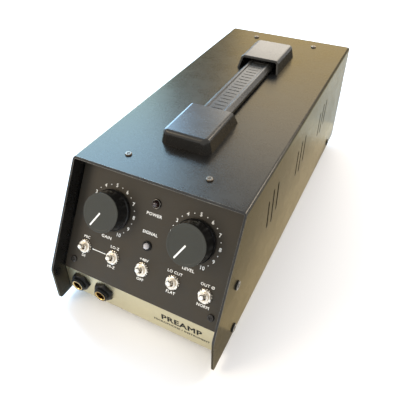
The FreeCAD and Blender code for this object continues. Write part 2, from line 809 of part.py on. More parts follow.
def ribbonCable():
    start = panelFrame.multVec(Vector(0, ribbonUp, -panelSheet - bodyDepth - boardSheet - headerOut))
    rear = ribbonEnd + ribbonSheet / 2
    shape = bentSheet([(rear, boardTop + headerOut), (rear, start.z), (start.y - 3.0, start.z)],
                      ribbonSheet, ribbonBend, "yz", -ribbonWidth / 2, ribbonWidth / 2)
    return shape.cut(controlBoard())


# ---- rear fittings (x to the right as seen from behind) ----------------------
def rounded(wide, tall, radius, x, y, low, high):
    return prism(rectangle(x - wide / 2, x + wide / 2, y - tall / 2, y + tall / 2, radius), "xy", low, high)


def pinPlaces(x, z):
    angles = [math.radians(degrees) for degrees in (30, 150, 270)]
    return [(x + pinRing * math.cos(a), z + pinRing * math.sin(a)) for a in angles]


def socketShell(place, mouth):
    x, z = place
    shell = rounded(*flangeSize, 3.0, x, z, 0, flangeSheet).fuse(rod(barrelRadius, x, z, -socketDepth, 0))
    shell = shell.cut(rod(mouth, x, z, socketFloor - socketDepth, 10))
    return shell.cut([rod(screwShank + bushGap, x + dx, z + dz, -10, 10) for dx, dz in flangeScrews])


def micSocket():
    x, z = micPlace
    insert = rod(micInsert, x, z, socketFloor - socketDepth - 1, flangeSheet - insertDrop)
    shell = socketShell(micPlace, micMouth).fuse(insert).removeSplitter()
    pocketHalf = latchWidth / 2 + latchGap
    pocket = box(x - pocketHalf, x + pocketHalf, z + latchUp - latchThick / 2 - latchGap,
                 z + latchUp + latchThick / 2 + latchGap, -latchTail - latchTravel - 3 * latchGap, 10)
    holes = [rod(pinRadius + pinSlack, px, pz, -11, 10) for px, pz in pinPlaces(x, z)]
    return placed(shell.cut(holes + [pocket]), rearFrame)


def micLatch():
    x, z = micPlace
    end = flangeSheet + latchTravel + latchOut
    low = z + latchUp - latchThick / 2
    tab = box(x - latchWidth / 2, x + latchWidth / 2, low, low + latchThick, -latchTail, end)
    rim = [e for e in tab.Edges if abs(e.BoundBox.ZMin - end) < 1e-6]
    return placed(tab.makeFillet(0.5, rim), rearFrame)


def lineSocket():
    shell = socketShell(linePlace, lineMouth)
    holes = [rod(pinRadius, px, pz, 1 - socketDepth, 10) for px, pz in pinPlaces(*linePlace)]
    return placed(shell.cut(holes), rearFrame)


def blade(x, z):
    wide, tall = bladeSize[0] / 2, bladeSize[1] / 2
    return box(x - wide, x + wide, z - tall, z + tall, -inletDepth - 6, -bladeSetback)


def bladePlaces():
    x, z = inletPlace
    return [(x - bladeX, z + mouthDrop - 2.0), (x + bladeX, z + mouthDrop - 2.0), (x, z + mouthDrop + 2.0)]


def contactPins():
    pins = []
    for px, pz in pinPlaces(*linePlace):
        pin = rod(pinRadius, px, pz, -socketDepth + 1, -pinSetback)
        tip = [e for e in pin.Edges if abs(e.BoundBox.ZMin + pinSetback) < 1e-6 and e.BoundBox.ZLength < 1e-6]
        pins.append(pin.makeFillet(pinRadius / 2, tip))
    pins += [blade(x, z) for x, z in bladePlaces()]
    return group([placed(pin, rearFrame) for pin in pins])


def rearScrews():
    screws = []
    for x, z in (micPlace, linePlace):
        screws += [(x + dx, z + dz, flangeSheet) for dx, dz in flangeScrews]
    screws += [(inletPlace[0] + dx, inletPlace[1], flangeSheet) for dx in (-inletScrewX, inletScrewX)]
    screws += [(x, z, 0) for x, z in rearCorners]
    return group([placed(panHead(topScrewRadius, screwHead, screwShank, 6.0, x, z, out), rearFrame)
                  for x, z, out in screws])


def powerInlet():
    x, z = inletPlace
    wide, tall = inletBody[0] / 2, inletBody[1] / 2
    housing = box(x - wide, x + wide, z - tall, z + tall, -inletDepth, 0)
    body = rounded(*inletFlange, 3.0, x, z, 0, flangeSheet).fuse(housing)
    w, t = mouthSize[0] / 2, mouthSize[1] / 2
    mid = z + mouthDrop
    c = mouthChamfer
    mouth = prism([(x - w, mid - t, 1), (x + w, mid - t, 1), (x + w, mid + t - c, 1), (x + w - c, mid + t, 1),
                   (x - w + c, mid + t, 1), (x - w, mid + t - c, 1)], "xy", -mouthDepth, 10)
    wide, tall = rockerSize[0] / 2 + wellGap[0], rockerSize[1] / 2 + wellGap[1]
    well = box(x - wide, x + wide, z + rockerUp - tall, z + rockerUp + tall, -wellDepth, 10)
    pivotLow = Vector(x, z + rockerUp - rockerSize[1] / 2 - 1.5, rockerPivot)
    pivot = Part.makeCylinder(rockerPin + runningGap, rockerSize[1] + 3, pivotLow, Vector(0, 1, 0))
    holes = [rod(screwShank + bushGap, x + dx, z, -10, 10) for dx in (-inletScrewX, inletScrewX)]
    return placed(body.cut([mouth, well, pivot] + holes + [blade(*p) for p in bladePlaces()]), rearFrame)


def powerRocker():
    w = rockerSize[0] / 2
    x, z = inletPlace
    outline = [(-w, 0.8, 0.6), (-w, 6.2, 0.8), (0, 4.6, 9), (w, 6.2, 0.8), (w, 0.8, 0.6), (3, -2.6, 1),
               (-3, -2.6, 1)]
    tall = rockerSize[1]
    rocker = prism(outline, "xz", -tall / 2, tall / 2)
    rocker = rocker.fuse(Part.makeCylinder(rockerPin, tall + 2, Vector(0, -tall / 2 - 1, 0), Vector(0, 1, 0)))
    rest = Placement(Vector(x, z + rockerUp, rockerPivot), Rotation(Vector(0, 1, 0), rockerTilt))
    return placed(rocker.removeSplitter(), rearFrame.multiply(rest))


def levelSwitch():
    x, z = levelPlace
    wide, tall, deep = levelBody
    body = box(x - wide / 2, x + wide / 2, z - tall / 2, z + tall / 2, -rearSheet - deep, -rearSheet)
    wellX, wellZ = wide / 2 - levelWall, tall / 2 - levelWall
    well = box(x - wellX, x + wellX, z - wellZ, z + wellZ, -rearSheet - levelWell, 1)
    return placed(body.cut(well), rearFrame)


def levelSlider():
    x, z = levelPlace
    nubX = x - levelTravel / 2
    slack = 0.3
    nub = box(nubX - levelNub[0] / 2, nubX + levelNub[0] / 2, z - levelNub[1] / 2, z + levelNub[1] / 2,
              -rearSheet - 2, levelOut)
    wide = levelBody[0] / 2 - levelWall - levelTravel / 2 - 2 * slack
    tall = levelBody[1] / 2 - levelWall - slack
    carriage = box(nubX - wide, nubX + wide, z - tall, z + tall,
                   slack - rearSheet - levelWell, -rearSheet - slack)
    return placed(nub.fuse(carriage).removeSplitter(), rearFrame)


# ---- the assembly ----------------------------------------------------------
nodes = {
    "outer_cover": outerCover(),
    "chassis": chassis(),
    "front_panel": frontPanel(),
    "rear_panel": rearPanel(),
    "panel_brackets": panelBrackets(),
    "case_screws": caseScrews(),
    "side_screws": sideScrewSet(),
    "rubber_feet": rubberFeet(),
    "foot_screws": footScrews(),
    "pot_nuts": potNuts(),
    "switch_nuts": switchNuts(),
    "power_lamp_bezel": lampBezel(powerLampUp),
    "power_lamp_lens": lampLens(powerLampUp, lensRise[0]),
    "signal_lamp_bezel": lampBezel(signalLampUp),
    "signal_lamp_lens": lampLens(signalLampUp, lensRise[1]),
    "control_board": controlBoard(),
    "jack_ferrules": group([placed(jackFerrule(x), stripFrame) for x in jackX]),
    "jack_nuts": jackNuts(),
    "front_handle_cap": frontCap(),
    "rear_handle_cap": rearCap(),
    "handle_strap": handleStrap(),
    "handle_core": handleCore(),
    "handle_bolts": handleBolts(),
    "main_board": mainBoard(),
    "board_posts": boardPosts(),
    "power_transformer": powerTransformer(),
    "transformer_clamp": transformerClamp(),
    "input_transformer": can(*inputCan, 2.0, *inputPlace),
    "output_transformer": outputTransformer(),
    "filter_capacitors": filterCapacitors(),
    "ribbon_cable": ribbonCable(),
    "mic_input_socket": micSocket(),
    "mic_input_latch": micLatch(),
    "line_output_socket": lineSocket(),
    "contact_pins": contactPins(),
    "rear_screws": rearScrews(),
    "power_inlet": powerInlet(),
    "power_rocker": powerRocker(),
    "level_switch": levelSwitch(),
    "level_slider": levelSlider(),
}
for name, x in (("gain", -knobX), ("level", knobX)):
    nodes[name + "_knob"] = placed(knob(x), panelFrame)
    nodes[name + "_knob_screw"] = placed(knobScrew(x), panelFrame)
    nodes[name + "_pot_shaft"] = placed(potShaft(x), panelFrame)
    nodes[name + "_pot"] = placed(pot(x), panelFrame)
for name, x in zip(switchNames, switchX):
    nodes[name + "_switch"] = placed(switchBody(x), panelFrame)
    nodes[name + "_lever"] = placed(switchLever(x), panelFrame)
for name, x in zip(("instrument", "through"), jackX):
    nodes[name + "_jack"] = jackBody(x)

for name, shape in nodes.items():
    placed(shape, home).exportStep("parts/" + name + ".step")
print(len(nodes), "nodes")
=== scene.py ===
import json
import math
import bmesh
import bpy
from mathutils import Matrix, Vector


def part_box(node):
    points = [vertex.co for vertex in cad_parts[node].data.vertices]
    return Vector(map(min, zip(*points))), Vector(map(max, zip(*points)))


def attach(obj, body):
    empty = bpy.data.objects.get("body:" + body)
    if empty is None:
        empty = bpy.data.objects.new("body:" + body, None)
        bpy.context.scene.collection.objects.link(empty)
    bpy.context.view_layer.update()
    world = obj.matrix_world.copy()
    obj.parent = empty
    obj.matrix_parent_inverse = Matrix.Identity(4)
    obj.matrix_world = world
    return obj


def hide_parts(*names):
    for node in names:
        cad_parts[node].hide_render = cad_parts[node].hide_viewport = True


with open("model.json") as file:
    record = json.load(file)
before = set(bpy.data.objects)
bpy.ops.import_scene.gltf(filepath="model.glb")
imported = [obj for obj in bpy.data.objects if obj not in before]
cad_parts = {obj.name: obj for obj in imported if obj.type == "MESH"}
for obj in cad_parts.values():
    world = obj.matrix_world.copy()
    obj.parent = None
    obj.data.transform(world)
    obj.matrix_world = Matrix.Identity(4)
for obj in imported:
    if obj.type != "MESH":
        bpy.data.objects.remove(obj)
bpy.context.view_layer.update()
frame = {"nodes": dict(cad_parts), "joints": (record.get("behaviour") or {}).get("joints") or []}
mm = 0.001
joints = {joint["name"]: joint for joint in frame["joints"]}


# shader trees
def addNode(tree, kind, sockets=None, **settings):
    node = tree.nodes.new(kind)
    for key, value in settings.items():
        setattr(node, key, value)
    for key, value in (sockets or {}).items():
        if isinstance(value, bpy.types.NodeSocket):
            tree.links.new(value, node.inputs[key])
        else:
            node.inputs[key].default_value = value
    return node


def blendColours(tree, share, first, second):
    node = addNode(tree, "ShaderNodeMix", data_type="RGBA")
    for socket, value in (("Factor_Float", share), ("A_Color", first), ("B_Color", second)):
        target = next(s for s in node.inputs if s.identifier == socket)
        if isinstance(value, bpy.types.NodeSocket):
            tree.links.new(value, target)
        elif socket == "Factor_Float":
            target.default_value = value
        else:
            target.default_value = (*value, 1.0)
    return next(s for s in node.outputs if s.identifier == "Result_Color")


def spread(tree, value, low, high, fromLow=0.3, fromHigh=0.7):
    node = addNode(tree, "ShaderNodeMapRange", {"Value": value, "From Min": fromLow, "From Max": fromHigh,
                                                "To Min": low, "To Max": high})
    return node.outputs["Result"]


def noise(tree, where, scale, detail=3.0, roughness=0.5):
    node = addNode(tree, "ShaderNodeTexNoise", {"Vector": where, "Scale": scale, "Detail": detail,
                                                "Roughness": roughness})
    return node.outputs["Fac"]


def maths(tree, operation, first, second):
    return addNode(tree, "ShaderNodeMath", {0: first, 1: second}, operation=operation).outputs[0]


finishDefaults = {
    "second": None,          # the other end of the colour's variation
    "cloud": 60.0,           # scale of the slow variation
    "metal": 0.0,
    "rough": 0.4,
    "swing": 0.05,           # how far the roughness varies
    "grain": 1500.0,         # scale of the fine texture
    "depth": 0.01,           # its height in millimetres
    "stretch": (1, 1, 1),    # under 1 draws the texture out along that axis
    "edge": None,            # colour of the lightened edges: rubbed wear, and a painted highlight where it is bright
    "edgeWidth": 0.35,
    "edgeShare": 0.5,
    "scratch": 0.0,
}


def finish(name, base, shader=None, **values):
    spec = {**finishDefaults, **values}
    made = bpy.data.materials.new(name)
    made.use_nodes = True
    made.diffuse_color = (*base, 1.0)
    tree = made.node_tree
    principled = tree.nodes["Principled BSDF"]
    where = addNode(tree, "ShaderNodeTexCoord").outputs["Object"]
    drawn = addNode(tree, "ShaderNodeMapping", {"Vector": where, "Scale": spec["stretch"]}).outputs["Vector"]
    fine = noise(tree, drawn, spec["grain"])
    slow = noise(tree, where, spec["cloud"], 5.0, 0.6)
    second = spec["second"] or tuple(channel * 0.8 for channel in base)
    colour = blendColours(tree, spread(tree, slow, 0.0, 1.0), base, second)
    mixed = maths(tree, "ADD", maths(tree, "MULTIPLY", fine, 0.5), maths(tree, "MULTIPLY", slow, 0.5))
    rough = spread(tree, mixed, spec["rough"] - spec["swing"], spec["rough"] + spec["swing"])
    if spec["edge"]:         # where the bevelled normal leaves the true one, the edge is lightened: rubbed wear, and a painted highlight where the edge colour is bright
        soft = addNode(tree, "ShaderNodeBevel", {"Radius": spec["edgeWidth"] * mm}, samples=6).outputs["Normal"]
        plain = addNode(tree, "ShaderNodeNewGeometry").outputs["Normal"]
        turn = addNode(tree, "ShaderNodeVectorMath", {0: soft, 1: plain}, operation="DOT_PRODUCT").outputs["Value"]
        edgeWearAndHighlight = maths(tree, "MULTIPLY", spread(tree, turn, 1.0, 0.0, 0.80, 0.98), spread(tree, slow, 0.2, 1.0))
        edgeWearAndHighlight = maths(tree, "MULTIPLY", edgeWearAndHighlight, spec["edgeShare"])
        colour = blendColours(tree, edgeWearAndHighlight, colour, spec["edge"])
    tree.links.new(colour, principled.inputs["Base Color"])
    tree.links.new(rough, principled.inputs["Roughness"])
    height = fine
    if spec["scratch"]:      # long fine lines in a slanting direction
        long = addNode(tree, "ShaderNodeMapping", {"Vector": where, "Scale": (1.0, 0.06, 1.0),
                                                   "Rotation": (0.4, 0.7, 0.5)}).outputs["Vector"]
        height = maths(tree, "ADD", fine, maths(tree, "MULTIPLY", noise(tree, long, 900.0, 1.0), spec["scratch"]))
    bump = addNode(tree, "ShaderNodeBump", {"Height": height, "Distance": spec["depth"] * mm, "Strength": 1.0})
    tree.links.new(bump.outputs["Normal"], principled.inputs["Normal"])
    principled.inputs["Metallic"].default_value = spec["metal"]
    for key, value in (shader or {}).items():
        principled.inputs[key].default_value = value
    return made


# the pale edge colour is partly rubbed wear and partly a painted highlight line along the cover's edges
coverPowder = finish("coverPowder", (0.046, 0.045, 0.044), {"Specular Tint": (0.60, 0.52, 0.36, 1.0)},
                     second=(0.054, 0.053, 0.051), metal=0.85, rough=0.28, swing=0.05, grain=1400.0, depth=0.012,
                     edge=(0.62, 0.58, 0.50), edgeShare=0.8)
panelPaint = finish("panelPaint", (0.032, 0.026, 0.019),
                    {"Specular IOR Level": 0.45, "Specular Tint": (1.0, 0.88, 0.70, 1.0)},
                    second=(0.026, 0.024, 0.021), rough=0.40, swing=0.05, grain=2600.0, depth=0.004,
                    edge=(0.16, 0.14, 0.11), edgeShare=0.4)
# the near-white edge colour paints a highlight along the strip's edges
champagneSteel = finish("champagneSteel", (0.66, 0.61, 0.42), second=(0.60, 0.55, 0.38), metal=1.0, rough=0.38,
                        swing=0.06, grain=1800.0, depth=0.004, stretch=(0.04, 1, 1), edge=(0.98, 0.94, 0.82),
                        edgeShare=0.95)
# the bright edge colour paints a highlight round the knob's rim
knobPlastic = finish("knobPlastic", (0.036, 0.036, 0.027), {"Specular IOR Level": 0.36},
                     second=(0.031, 0.031, 0.024), rough=0.38, swing=0.05, grain=3200.0, depth=0.004,
                     edge=(0.60, 0.58, 0.50), edgeWidth=0.3, edgeShare=0.9)
knobSkirt = finish("knobSkirt", (0.007, 0.007, 0.007), {"Specular IOR Level": 0.35}, rough=0.3, swing=0.05,
                   grain=2400.0, depth=0.004)
nickelPlate = finish("nickelPlate", (0.97, 0.92, 0.83), second=(0.90, 0.84, 0.74), metal=1.0, rough=0.36, swing=0.08,
                     grain=1800.0, depth=0.003, scratch=0.8)
threadNickel = finish("threadNickel", (0.86, 0.80, 0.70), second=(0.7, 0.64, 0.55), metal=1.0, rough=0.36, swing=0.08,
                      grain=1800.0, depth=0.05, stretch=(0.02, 1, 1))
darkNickel = finish("darkNickel", (0.16, 0.15, 0.13), second=(0.12, 0.11, 0.10), metal=1.0, rough=0.2, swing=0.06,
                    grain=1800.0, depth=0.003, edge=(0.5, 0.47, 0.42), edgeWidth=0.2)
goldPlate = finish("goldPlate", (0.78, 0.55, 0.22), second=(0.66, 0.44, 0.15), metal=1.0, rough=0.2, swing=0.06,
                   grain=2200.0, depth=0.003, scratch=0.6)
zincPlate = finish("zincPlate", (0.55, 0.55, 0.56), second=(0.42, 0.43, 0.45), metal=1.0, rough=0.34, swing=0.1,
                   grain=1500.0, depth=0.004, scratch=0.7)
wornSteel = finish("wornSteel", (0.20, 0.16, 0.12), second=(0.10, 0.08, 0.06), cloud=400.0, metal=1.0, rough=0.42,
                   grain=2000.0, depth=0.006, edge=(0.42, 0.37, 0.29), edgeWidth=0.25, edgeShare=0.9)
blackOxide = finish("blackOxide", (0.05, 0.045, 0.04), second=(0.03, 0.028, 0.026), metal=0.7, rough=0.22, swing=0.06,
                    grain=2000.0, depth=0.004, edge=(0.35, 0.31, 0.26), edgeWidth=0.2)
capPlastic = finish("capPlastic", (0.014, 0.014, 0.014),
                    {"Specular IOR Level": 0.40, "Specular Tint": (1.0, 0.95, 0.84, 1.0)},
                    second=(0.018, 0.017, 0.016), rough=0.26, swing=0.04, grain=2100.0, depth=0.006,
                    edge=(0.11, 0.10, 0.09), edgeWidth=0.5)
strapRubber = finish("strapRubber", (0.016, 0.015, 0.013), {"Specular IOR Level": 0.33}, second=(0.028, 0.026, 0.022),
                     rough=0.28, swing=0.06, grain=1800.0, depth=0.01, edge=(0.10, 0.095, 0.085), edgeWidth=0.4)
footRubber = finish("footRubber", (0.02, 0.02, 0.02), rough=0.7, swing=0.08, grain=1200.0, depth=0.03)
jackPlastic = finish("jackPlastic", (0.006, 0.006, 0.006), {"Specular IOR Level": 0.25}, rough=0.36, swing=0.06,
                     grain=2000.0, depth=0.01, edge=(0.10, 0.10, 0.09), edgeWidth=0.3)
printInk = finish("printInk", (0.95, 0.94, 0.88), second=(0.86, 0.84, 0.78), cloud=500.0, rough=0.5, grain=4000.0,
                  depth=0.004)
darkInk = finish("darkInk", (0.008, 0.008, 0.007), {"Specular IOR Level": 0.15}, second=(0.016, 0.015, 0.013),
                 cloud=500.0, rough=0.6, grain=4000.0, depth=0.004)
switchCase = finish("switchCase", (0.42, 0.04, 0.03), second=(0.34, 0.03, 0.025), rough=0.35, grain=1500.0, depth=0.01)
boardMask = finish("boardMask", (0.015, 0.10, 0.045), second=(0.02, 0.15, 0.06), cloud=180.0, rough=0.28, grain=900.0,
                   depth=0.01, stretch=(1, 0.2, 1))
windingTape = finish("windingTape", (0.72, 0.55, 0.10), second=(0.60, 0.42, 0.07), cloud=90.0, rough=0.3, grain=500.0,
                     depth=0.05, stretch=(1, 1, 0.15))
canSteel = finish("canSteel", (0.52, 0.52, 0.52), second=(0.44, 0.44, 0.45), metal=1.0, rough=0.3, grain=1600.0,
                  depth=0.004, stretch=(1, 1, 0.1))
coreIron = finish("coreIron", (0.10, 0.10, 0.105), second=(0.07, 0.07, 0.075), metal=0.6, rough=0.45, grain=1400.0,
                  depth=0.05, stretch=(0.05, 1, 0.05))
sleevePlastic = finish("sleevePlastic", (0.03, 0.05, 0.16), second=(0.02, 0.04, 0.12), rough=0.26, grain=700.0,
                       depth=0.01)
resistorBody = finish("resistorBody", (0.55, 0.42, 0.26), second=(0.40, 0.16, 0.08), cloud=700.0, rough=0.35,
                      grain=900.0, depth=0.01)
ribbonGrey = finish("ribbonGrey", (0.36, 0.36, 0.36), second=(0.30, 0.30, 0.31), rough=0.5, grain=900.0, depth=0.04,
                    stretch=(1, 0.02, 0.02))
lensRed = finish("lensRed", (0.028, 0.010, 0.009),
                 {"Transmission Weight": 0.15, "Coat Weight": 0.8, "Coat Roughness": 0.04},
                 rough=0.12, swing=0.03, grain=800.0, depth=0.01)
lensClear = finish("lensClear", (0.80, 0.76, 0.77),
                   {"Transmission Weight": 0.35, "Coat Weight": 0.6, "Coat Roughness": 0.05},
                   rough=0.16, swing=0.04, grain=800.0, depth=0.01)
print("materials ready")


# meshes: each builder works in local millimetres, then the piece is put in place
def outline(corners, steps=5):
    points = []
    count = len(corners)
    for k, (x, y, radius) in enumerate(corners):
        here = Vector((x, y))
        before = (Vector(corners[k - 1][:2]) - here).normalized()
        after = (Vector(corners[(k + 1) % count][:2]) - here).normalized()
        opening = before.angle(after)
        centre = here + (before + after).normalized() * (radius / math.sin(opening / 2))
        start = here + before * (radius / math.tan(opening / 2)) - centre
        stop = here + after * (radius / math.tan(opening / 2)) - centre
        turn = start.angle_signed(stop)
        for step in range(steps + 1):
            angle = -turn * step / steps
            spun = Vector((start.x * math.cos(angle) - start.y * math.sin(angle),
                           start.x * math.sin(angle) + start.y * math.cos(angle)))
            points.append(centre + spun)
    return points


def rectangle(left, right, low, high, radius):
    return [(left, low, radius), (right, low, radius), (right, high, radius), (left, high, radius)]


def loft(bm, rings, closed=True, ends=True):
    rows = [[bm.verts.new(point) for point in ring] for ring in rings]
    count = len(rows[0])
    for below, above in zip(rows, rows[1:]):
        for k in range(count if closed else count - 1):
            following = (k + 1) % count
            bm.faces.new((below[k], below[following], above[following], above[k]))
    if ends:
        bm.faces.new(rows[0][::-1])
        bm.faces.new(rows[-1])
    return rows


def slab(bm, corners, low, high, edge=0.0):
    flat = outline(corners)
    core = sum(flat, Vector((0, 0))) / len(flat)
    rings = []
    levels = [(low, edge), (low + edge, 0.0), (high - edge, 0.0), (high, edge)] if edge else [(low, 0), (high, 0)]
    for level, inset in levels:
        rings.append([(*(point - (point - core).normalized() * inset), level) for point in flat])
    loft(bm, rings)


def lathe(bm, profile, steps=64, centre=(0, 0), material=0):
    rings = []
    for radius, height in profile:
        if radius <= 0:
            rings.append([bm.verts.new((centre[0], centre[1], height))])
            continue
        ring = []
        for k in range(steps):
            angle = 2 * math.pi * k / steps
            ring.append(bm.verts.new((centre[0] + radius * math.cos(angle), centre[1] + radius * math.sin(angle),
                                      height)))
        rings.append(ring)
    for below, above in zip(rings, rings[1:]):
        for k in range(steps):
            following = (k + 1) % steps
            corners = [below[k % len(below)], below[following % len(below)],
                       above[following % len(above)], above[k % len(above)]]
            corners = list(dict.fromkeys(corners))
            if len(corners) > 2:
                bm.faces.new(corners).material_index = material


def rounded(points, radius, steps=4):
    profile = []
    for k, (r, z) in enumerate(points):
        if k in (0, len(points) - 1):
            profile.append((r, z))
            continue
        here = Vector((r, z))
        before = (Vector(points[k - 1]) - here).normalized()
        after = (Vector(points[k + 1]) - here).normalized()
        reach = min(radius, (Vector(points[k - 1]) - here).length * 0.45, (Vector(points[k + 1]) - here).length * 0.45)
        for step in range(steps + 1):
            share = step / steps
            bend = (1 - share) ** 2 * (here + before * reach) + 2 * share * (1 - share) * here
            profile.append(tuple(bend + share ** 2 * (here + after * reach)))
    return profile


def hexNut(bm, flats, bore, thickness, turn, centre, base):
    steps, chamfer, mouth = 48, 0.35, 0.25
    cornerLow, cornerHigh = flats / math.sqrt(3) * 0.985, flats * 0.53      # the corners are cut back, more at the top
    rings = []
    for radius, limit, height in ((bore, None, thickness - 0.1), (bore + mouth, None, thickness),
                                  (flats * 0.47, None, thickness), (None, cornerHigh, thickness - chamfer),
                                  (None, cornerLow, 0.0), (bore, None, 0.0)):
        ring = []
        for k in range(steps):
            angle = 2 * math.pi * k / steps
            side = (math.degrees(angle) - turn) % 60 - 30
            reach = radius or min(flats / 2 / math.cos(math.radians(side)), limit)
            ring.append((centre[0] + reach * math.cos(angle), centre[1] + reach * math.sin(angle), base + height))
        rings.append(ring)
    loft(bm, rings, ends=False)
    loft(bm, [rings[-1], rings[0]], ends=False)


def piece(name, bm, place, materials, body="root", nodes=(), sharp=35.0):
    bm.transform(place @ Matrix.Scale(mm, 4))
    bmesh.ops.remove_doubles(bm, verts=bm.verts, dist=0.0000005)
    bmesh.ops.recalc_face_normals(bm, faces=bm.faces)
    mesh = bpy.data.meshes.new(name)
    bm.to_mesh(mesh)
    bm.free()
    return settle(name, mesh, materials, body, nodes, sharp)


def settle(name, mesh, materials, body="root", nodes=(), sharp=35.0):
    for label in ("custom_normal", "sharp_edge", "sharp_face"):
        if label in mesh.attributes:
            mesh.attributes.remove(mesh.attributes[label])
    kept = [polygon.material_index for polygon in mesh.polygons]
    mesh.materials.clear()
    for material in materials:
        mesh.materials.append(material)
    for polygon, index in zip(mesh.polygons, kept):
        polygon.material_index = index
    mesh.shade_smooth()
    mesh.set_sharp_from_angle(angle=math.radians(sharp))
    flatter = scratchObject(mesh).modifiers.new("flatter", "WEIGHTED_NORMAL")
    flatter.mode = "FACE_AREA"
    flatter.keep_sharp = True
    made = bpy.data.objects.new(name, plain(flatter.id_data))
    bpy.context.scene.collection.objects.link(made)
    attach(made, body)
    if nodes:
        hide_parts(*nodes)
    return made


def scratchObject(mesh):
    made = bpy.data.objects.new("scratch", mesh)
    bpy.context.scene.collection.objects.link(made)
    return made


def plain(made):
    graph = bpy.context.evaluated_depsgraph_get()
    mesh = bpy.data.meshes.new_from_object(made.evaluated_get(graph), preserve_all_data_layers=True, depsgraph=graph)
    bpy.data.objects.remove(made)
    return mesh


def merged(node):
    mesh = frame["nodes"][node].data.copy()
    bm = bmesh.new()
    bm.from_mesh(mesh)
    bmesh.ops.remove_doubles(bm, verts=bm.verts, dist=0.000001)
    bmesh.ops.dissolve_limit(bm, angle_limit=math.radians(0.5), verts=bm.verts, edges=bm.edges)
    bm.to_mesh(mesh)
    bm.free()
    return mesh


def bevelled(node, width):
    bevel = scratchObject(merged(node)).modifiers.new("ease", "BEVEL")
    bevel.width = width * mm
    bevel.segments = 2
    bevel.limit_method = "ANGLE"
    bevel.angle_limit = math.radians(40)
    return plain(bevel.id_data)


# a CAD node with its edges broken; second says which faces take the second material
def eased(node, width, materials, name, body="root", second=None):
    mesh = bevelled(node, width)
    for polygon in mesh.polygons:
        polygon.material_index = int(bool(second and second(polygon.center)))
    return settle(name, mesh, materials, body, [node], 30.0)


def drilled(bm, radius, start, stop):
    body = bpy.data.meshes.new("body")
    bm.to_mesh(body)
    bm.free()
    drill = bmesh.new()
    bmesh.ops.create_cone(drill, segments=32, radius1=radius, radius2=radius, depth=(stop - start).length,
                          cap_ends=True)
    turn = (stop - start).to_track_quat("Z", "Y").to_matrix().to_4x4()
    drill.transform(Matrix.Translation((start + stop) / 2) @ turn)
    cutter = bpy.data.meshes.new("drill")
    drill.to_mesh(cutter)
    drill.free()
    cutting = scratchObject(cutter)
    cut = scratchObject(body).modifiers.new("cut", "BOOLEAN")
    cut.object = cutting
    cut.operation = "DIFFERENCE"
    cut.solver = "EXACT"
    bpy.context.view_layer.update()
    result = plain(cut.id_data)
    bpy.data.objects.remove(cutting)
    made = bmesh.new()
    made.from_mesh(result)
    return made


def repeatTree():
    tree = bpy.data.node_groups.new("repeats", "GeometryNodeTree")
    for name, kind in (("Part", "Object"), ("Count", "Int"), ("Start", "Vector"), ("Step", "Vector"),
                       ("Radius", "Float"), ("First", "Float"), ("Turn", "Float"), ("Finish", "Material")):
        tree.interface.new_socket(name, in_out="INPUT", socket_type="NodeSocket" + kind)
    tree.interface.new_socket("Mesh", in_out="OUTPUT", socket_type="NodeSocketGeometry")
    given = tree.nodes.new("NodeGroupInput").outputs
    index = tree.nodes.new("GeometryNodeInputIndex").outputs[0]
    angle = maths(tree, "ADD", given["First"], maths(tree, "MULTIPLY", index, given["Turn"]))
    ring = addNode(tree, "ShaderNodeCombineXYZ", {
        "X": maths(tree, "MULTIPLY", maths(tree, "SINE", angle, 0.0), given["Radius"]),
        "Y": maths(tree, "MULTIPLY", maths(tree, "COSINE", angle, 0.0), given["Radius"])}).outputs[0]
    along = addNode(tree, "ShaderNodeVectorMath", {0: given["Step"], 3: index}, operation="SCALE").outputs[0]
    spot = addNode(tree, "ShaderNodeVectorMath", {0: ring, 1: along}, operation="ADD").outputs[0]
    spot = addNode(tree, "ShaderNodeVectorMath", {0: spot, 1: given["Start"]}, operation="ADD").outputs[0]
    turn = addNode(tree, "ShaderNodeCombineXYZ", {"Z": maths(tree, "MULTIPLY", angle, -1.0)}).outputs[0]
    points = addNode(tree, "GeometryNodePoints", {"Count": given["Count"], "Position": spot})
    part = addNode(tree, "GeometryNodeObjectInfo", {"Object": given["Part"]})
    placed = addNode(tree, "GeometryNodeInstanceOnPoints", {"Points": points.outputs[0],
                                                            "Instance": part.outputs["Geometry"], "Rotation": turn})
    real = addNode(tree, "GeometryNodeRealizeInstances", {"Geometry": placed.outputs[0]})
    dressed = addNode(tree, "GeometryNodeSetMaterial", {"Geometry": real.outputs[0], "Material": given["Finish"]})
    last = tree.nodes.new("NodeGroupOutput")
    tree.links.new(dressed.outputs[0], last.inputs[0])
    return tree


repeats = repeatTree()


def repeated(part, count, **values):
    seed = bpy.data.meshes.new("seed")
    part.to_mesh(seed)
    part.free()
    seedObject = scratchObject(seed)
    spec = {"Start": (0, 0, 0), "Step": (0, 0, 0), "Radius": 0.0, "First": 0.0, "Turn": 0.0, "Finish": nickelPlate,
            "Count": count, "Part": seedObject, **values}
    modifier = scratchObject(bpy.data.meshes.new("grown")).modifiers.new("repeat", "NODES")
    modifier.node_group = repeats
    for item in repeats.interface.items_tree:
        if item.item_type == "SOCKET" and item.in_out == "INPUT":
            value = spec[item.name]
            modifier[item.identifier] = [float(part) for part in value] if isinstance(value, tuple) else value
    mesh = plain(modifier.id_data)
    bpy.data.objects.remove(seedObject)
    return mesh


def add(bm, mesh, material=0, move=None):
    if move:
        mesh.transform(move)
    for polygon in mesh.polygons:
        polygon.material_index = material
    bm.from_mesh(mesh)
    bpy.data.meshes.remove(mesh)


# places worked out from the frame
def jointPoint(name):
    return Vector(joints[name]["pos_m"])


def middle(node):
    low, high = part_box(node)
    return (low + high) / 2


panelOut = -Vector(joints["gain_turn"]["axis"]).normalized()
panelRight = Vector((1, 0, 0))
panelUp = panelOut.cross(panelRight)
panelFoot = Vector((0, jointPoint("gain_turn").y, jointPoint("gain_turn").z))


def placeAt(origin, right, up):
    out = right.cross(up)
    matrix = Matrix((right, up, out)).transposed().to_4x4()
    matrix.translation = origin
    return matrix


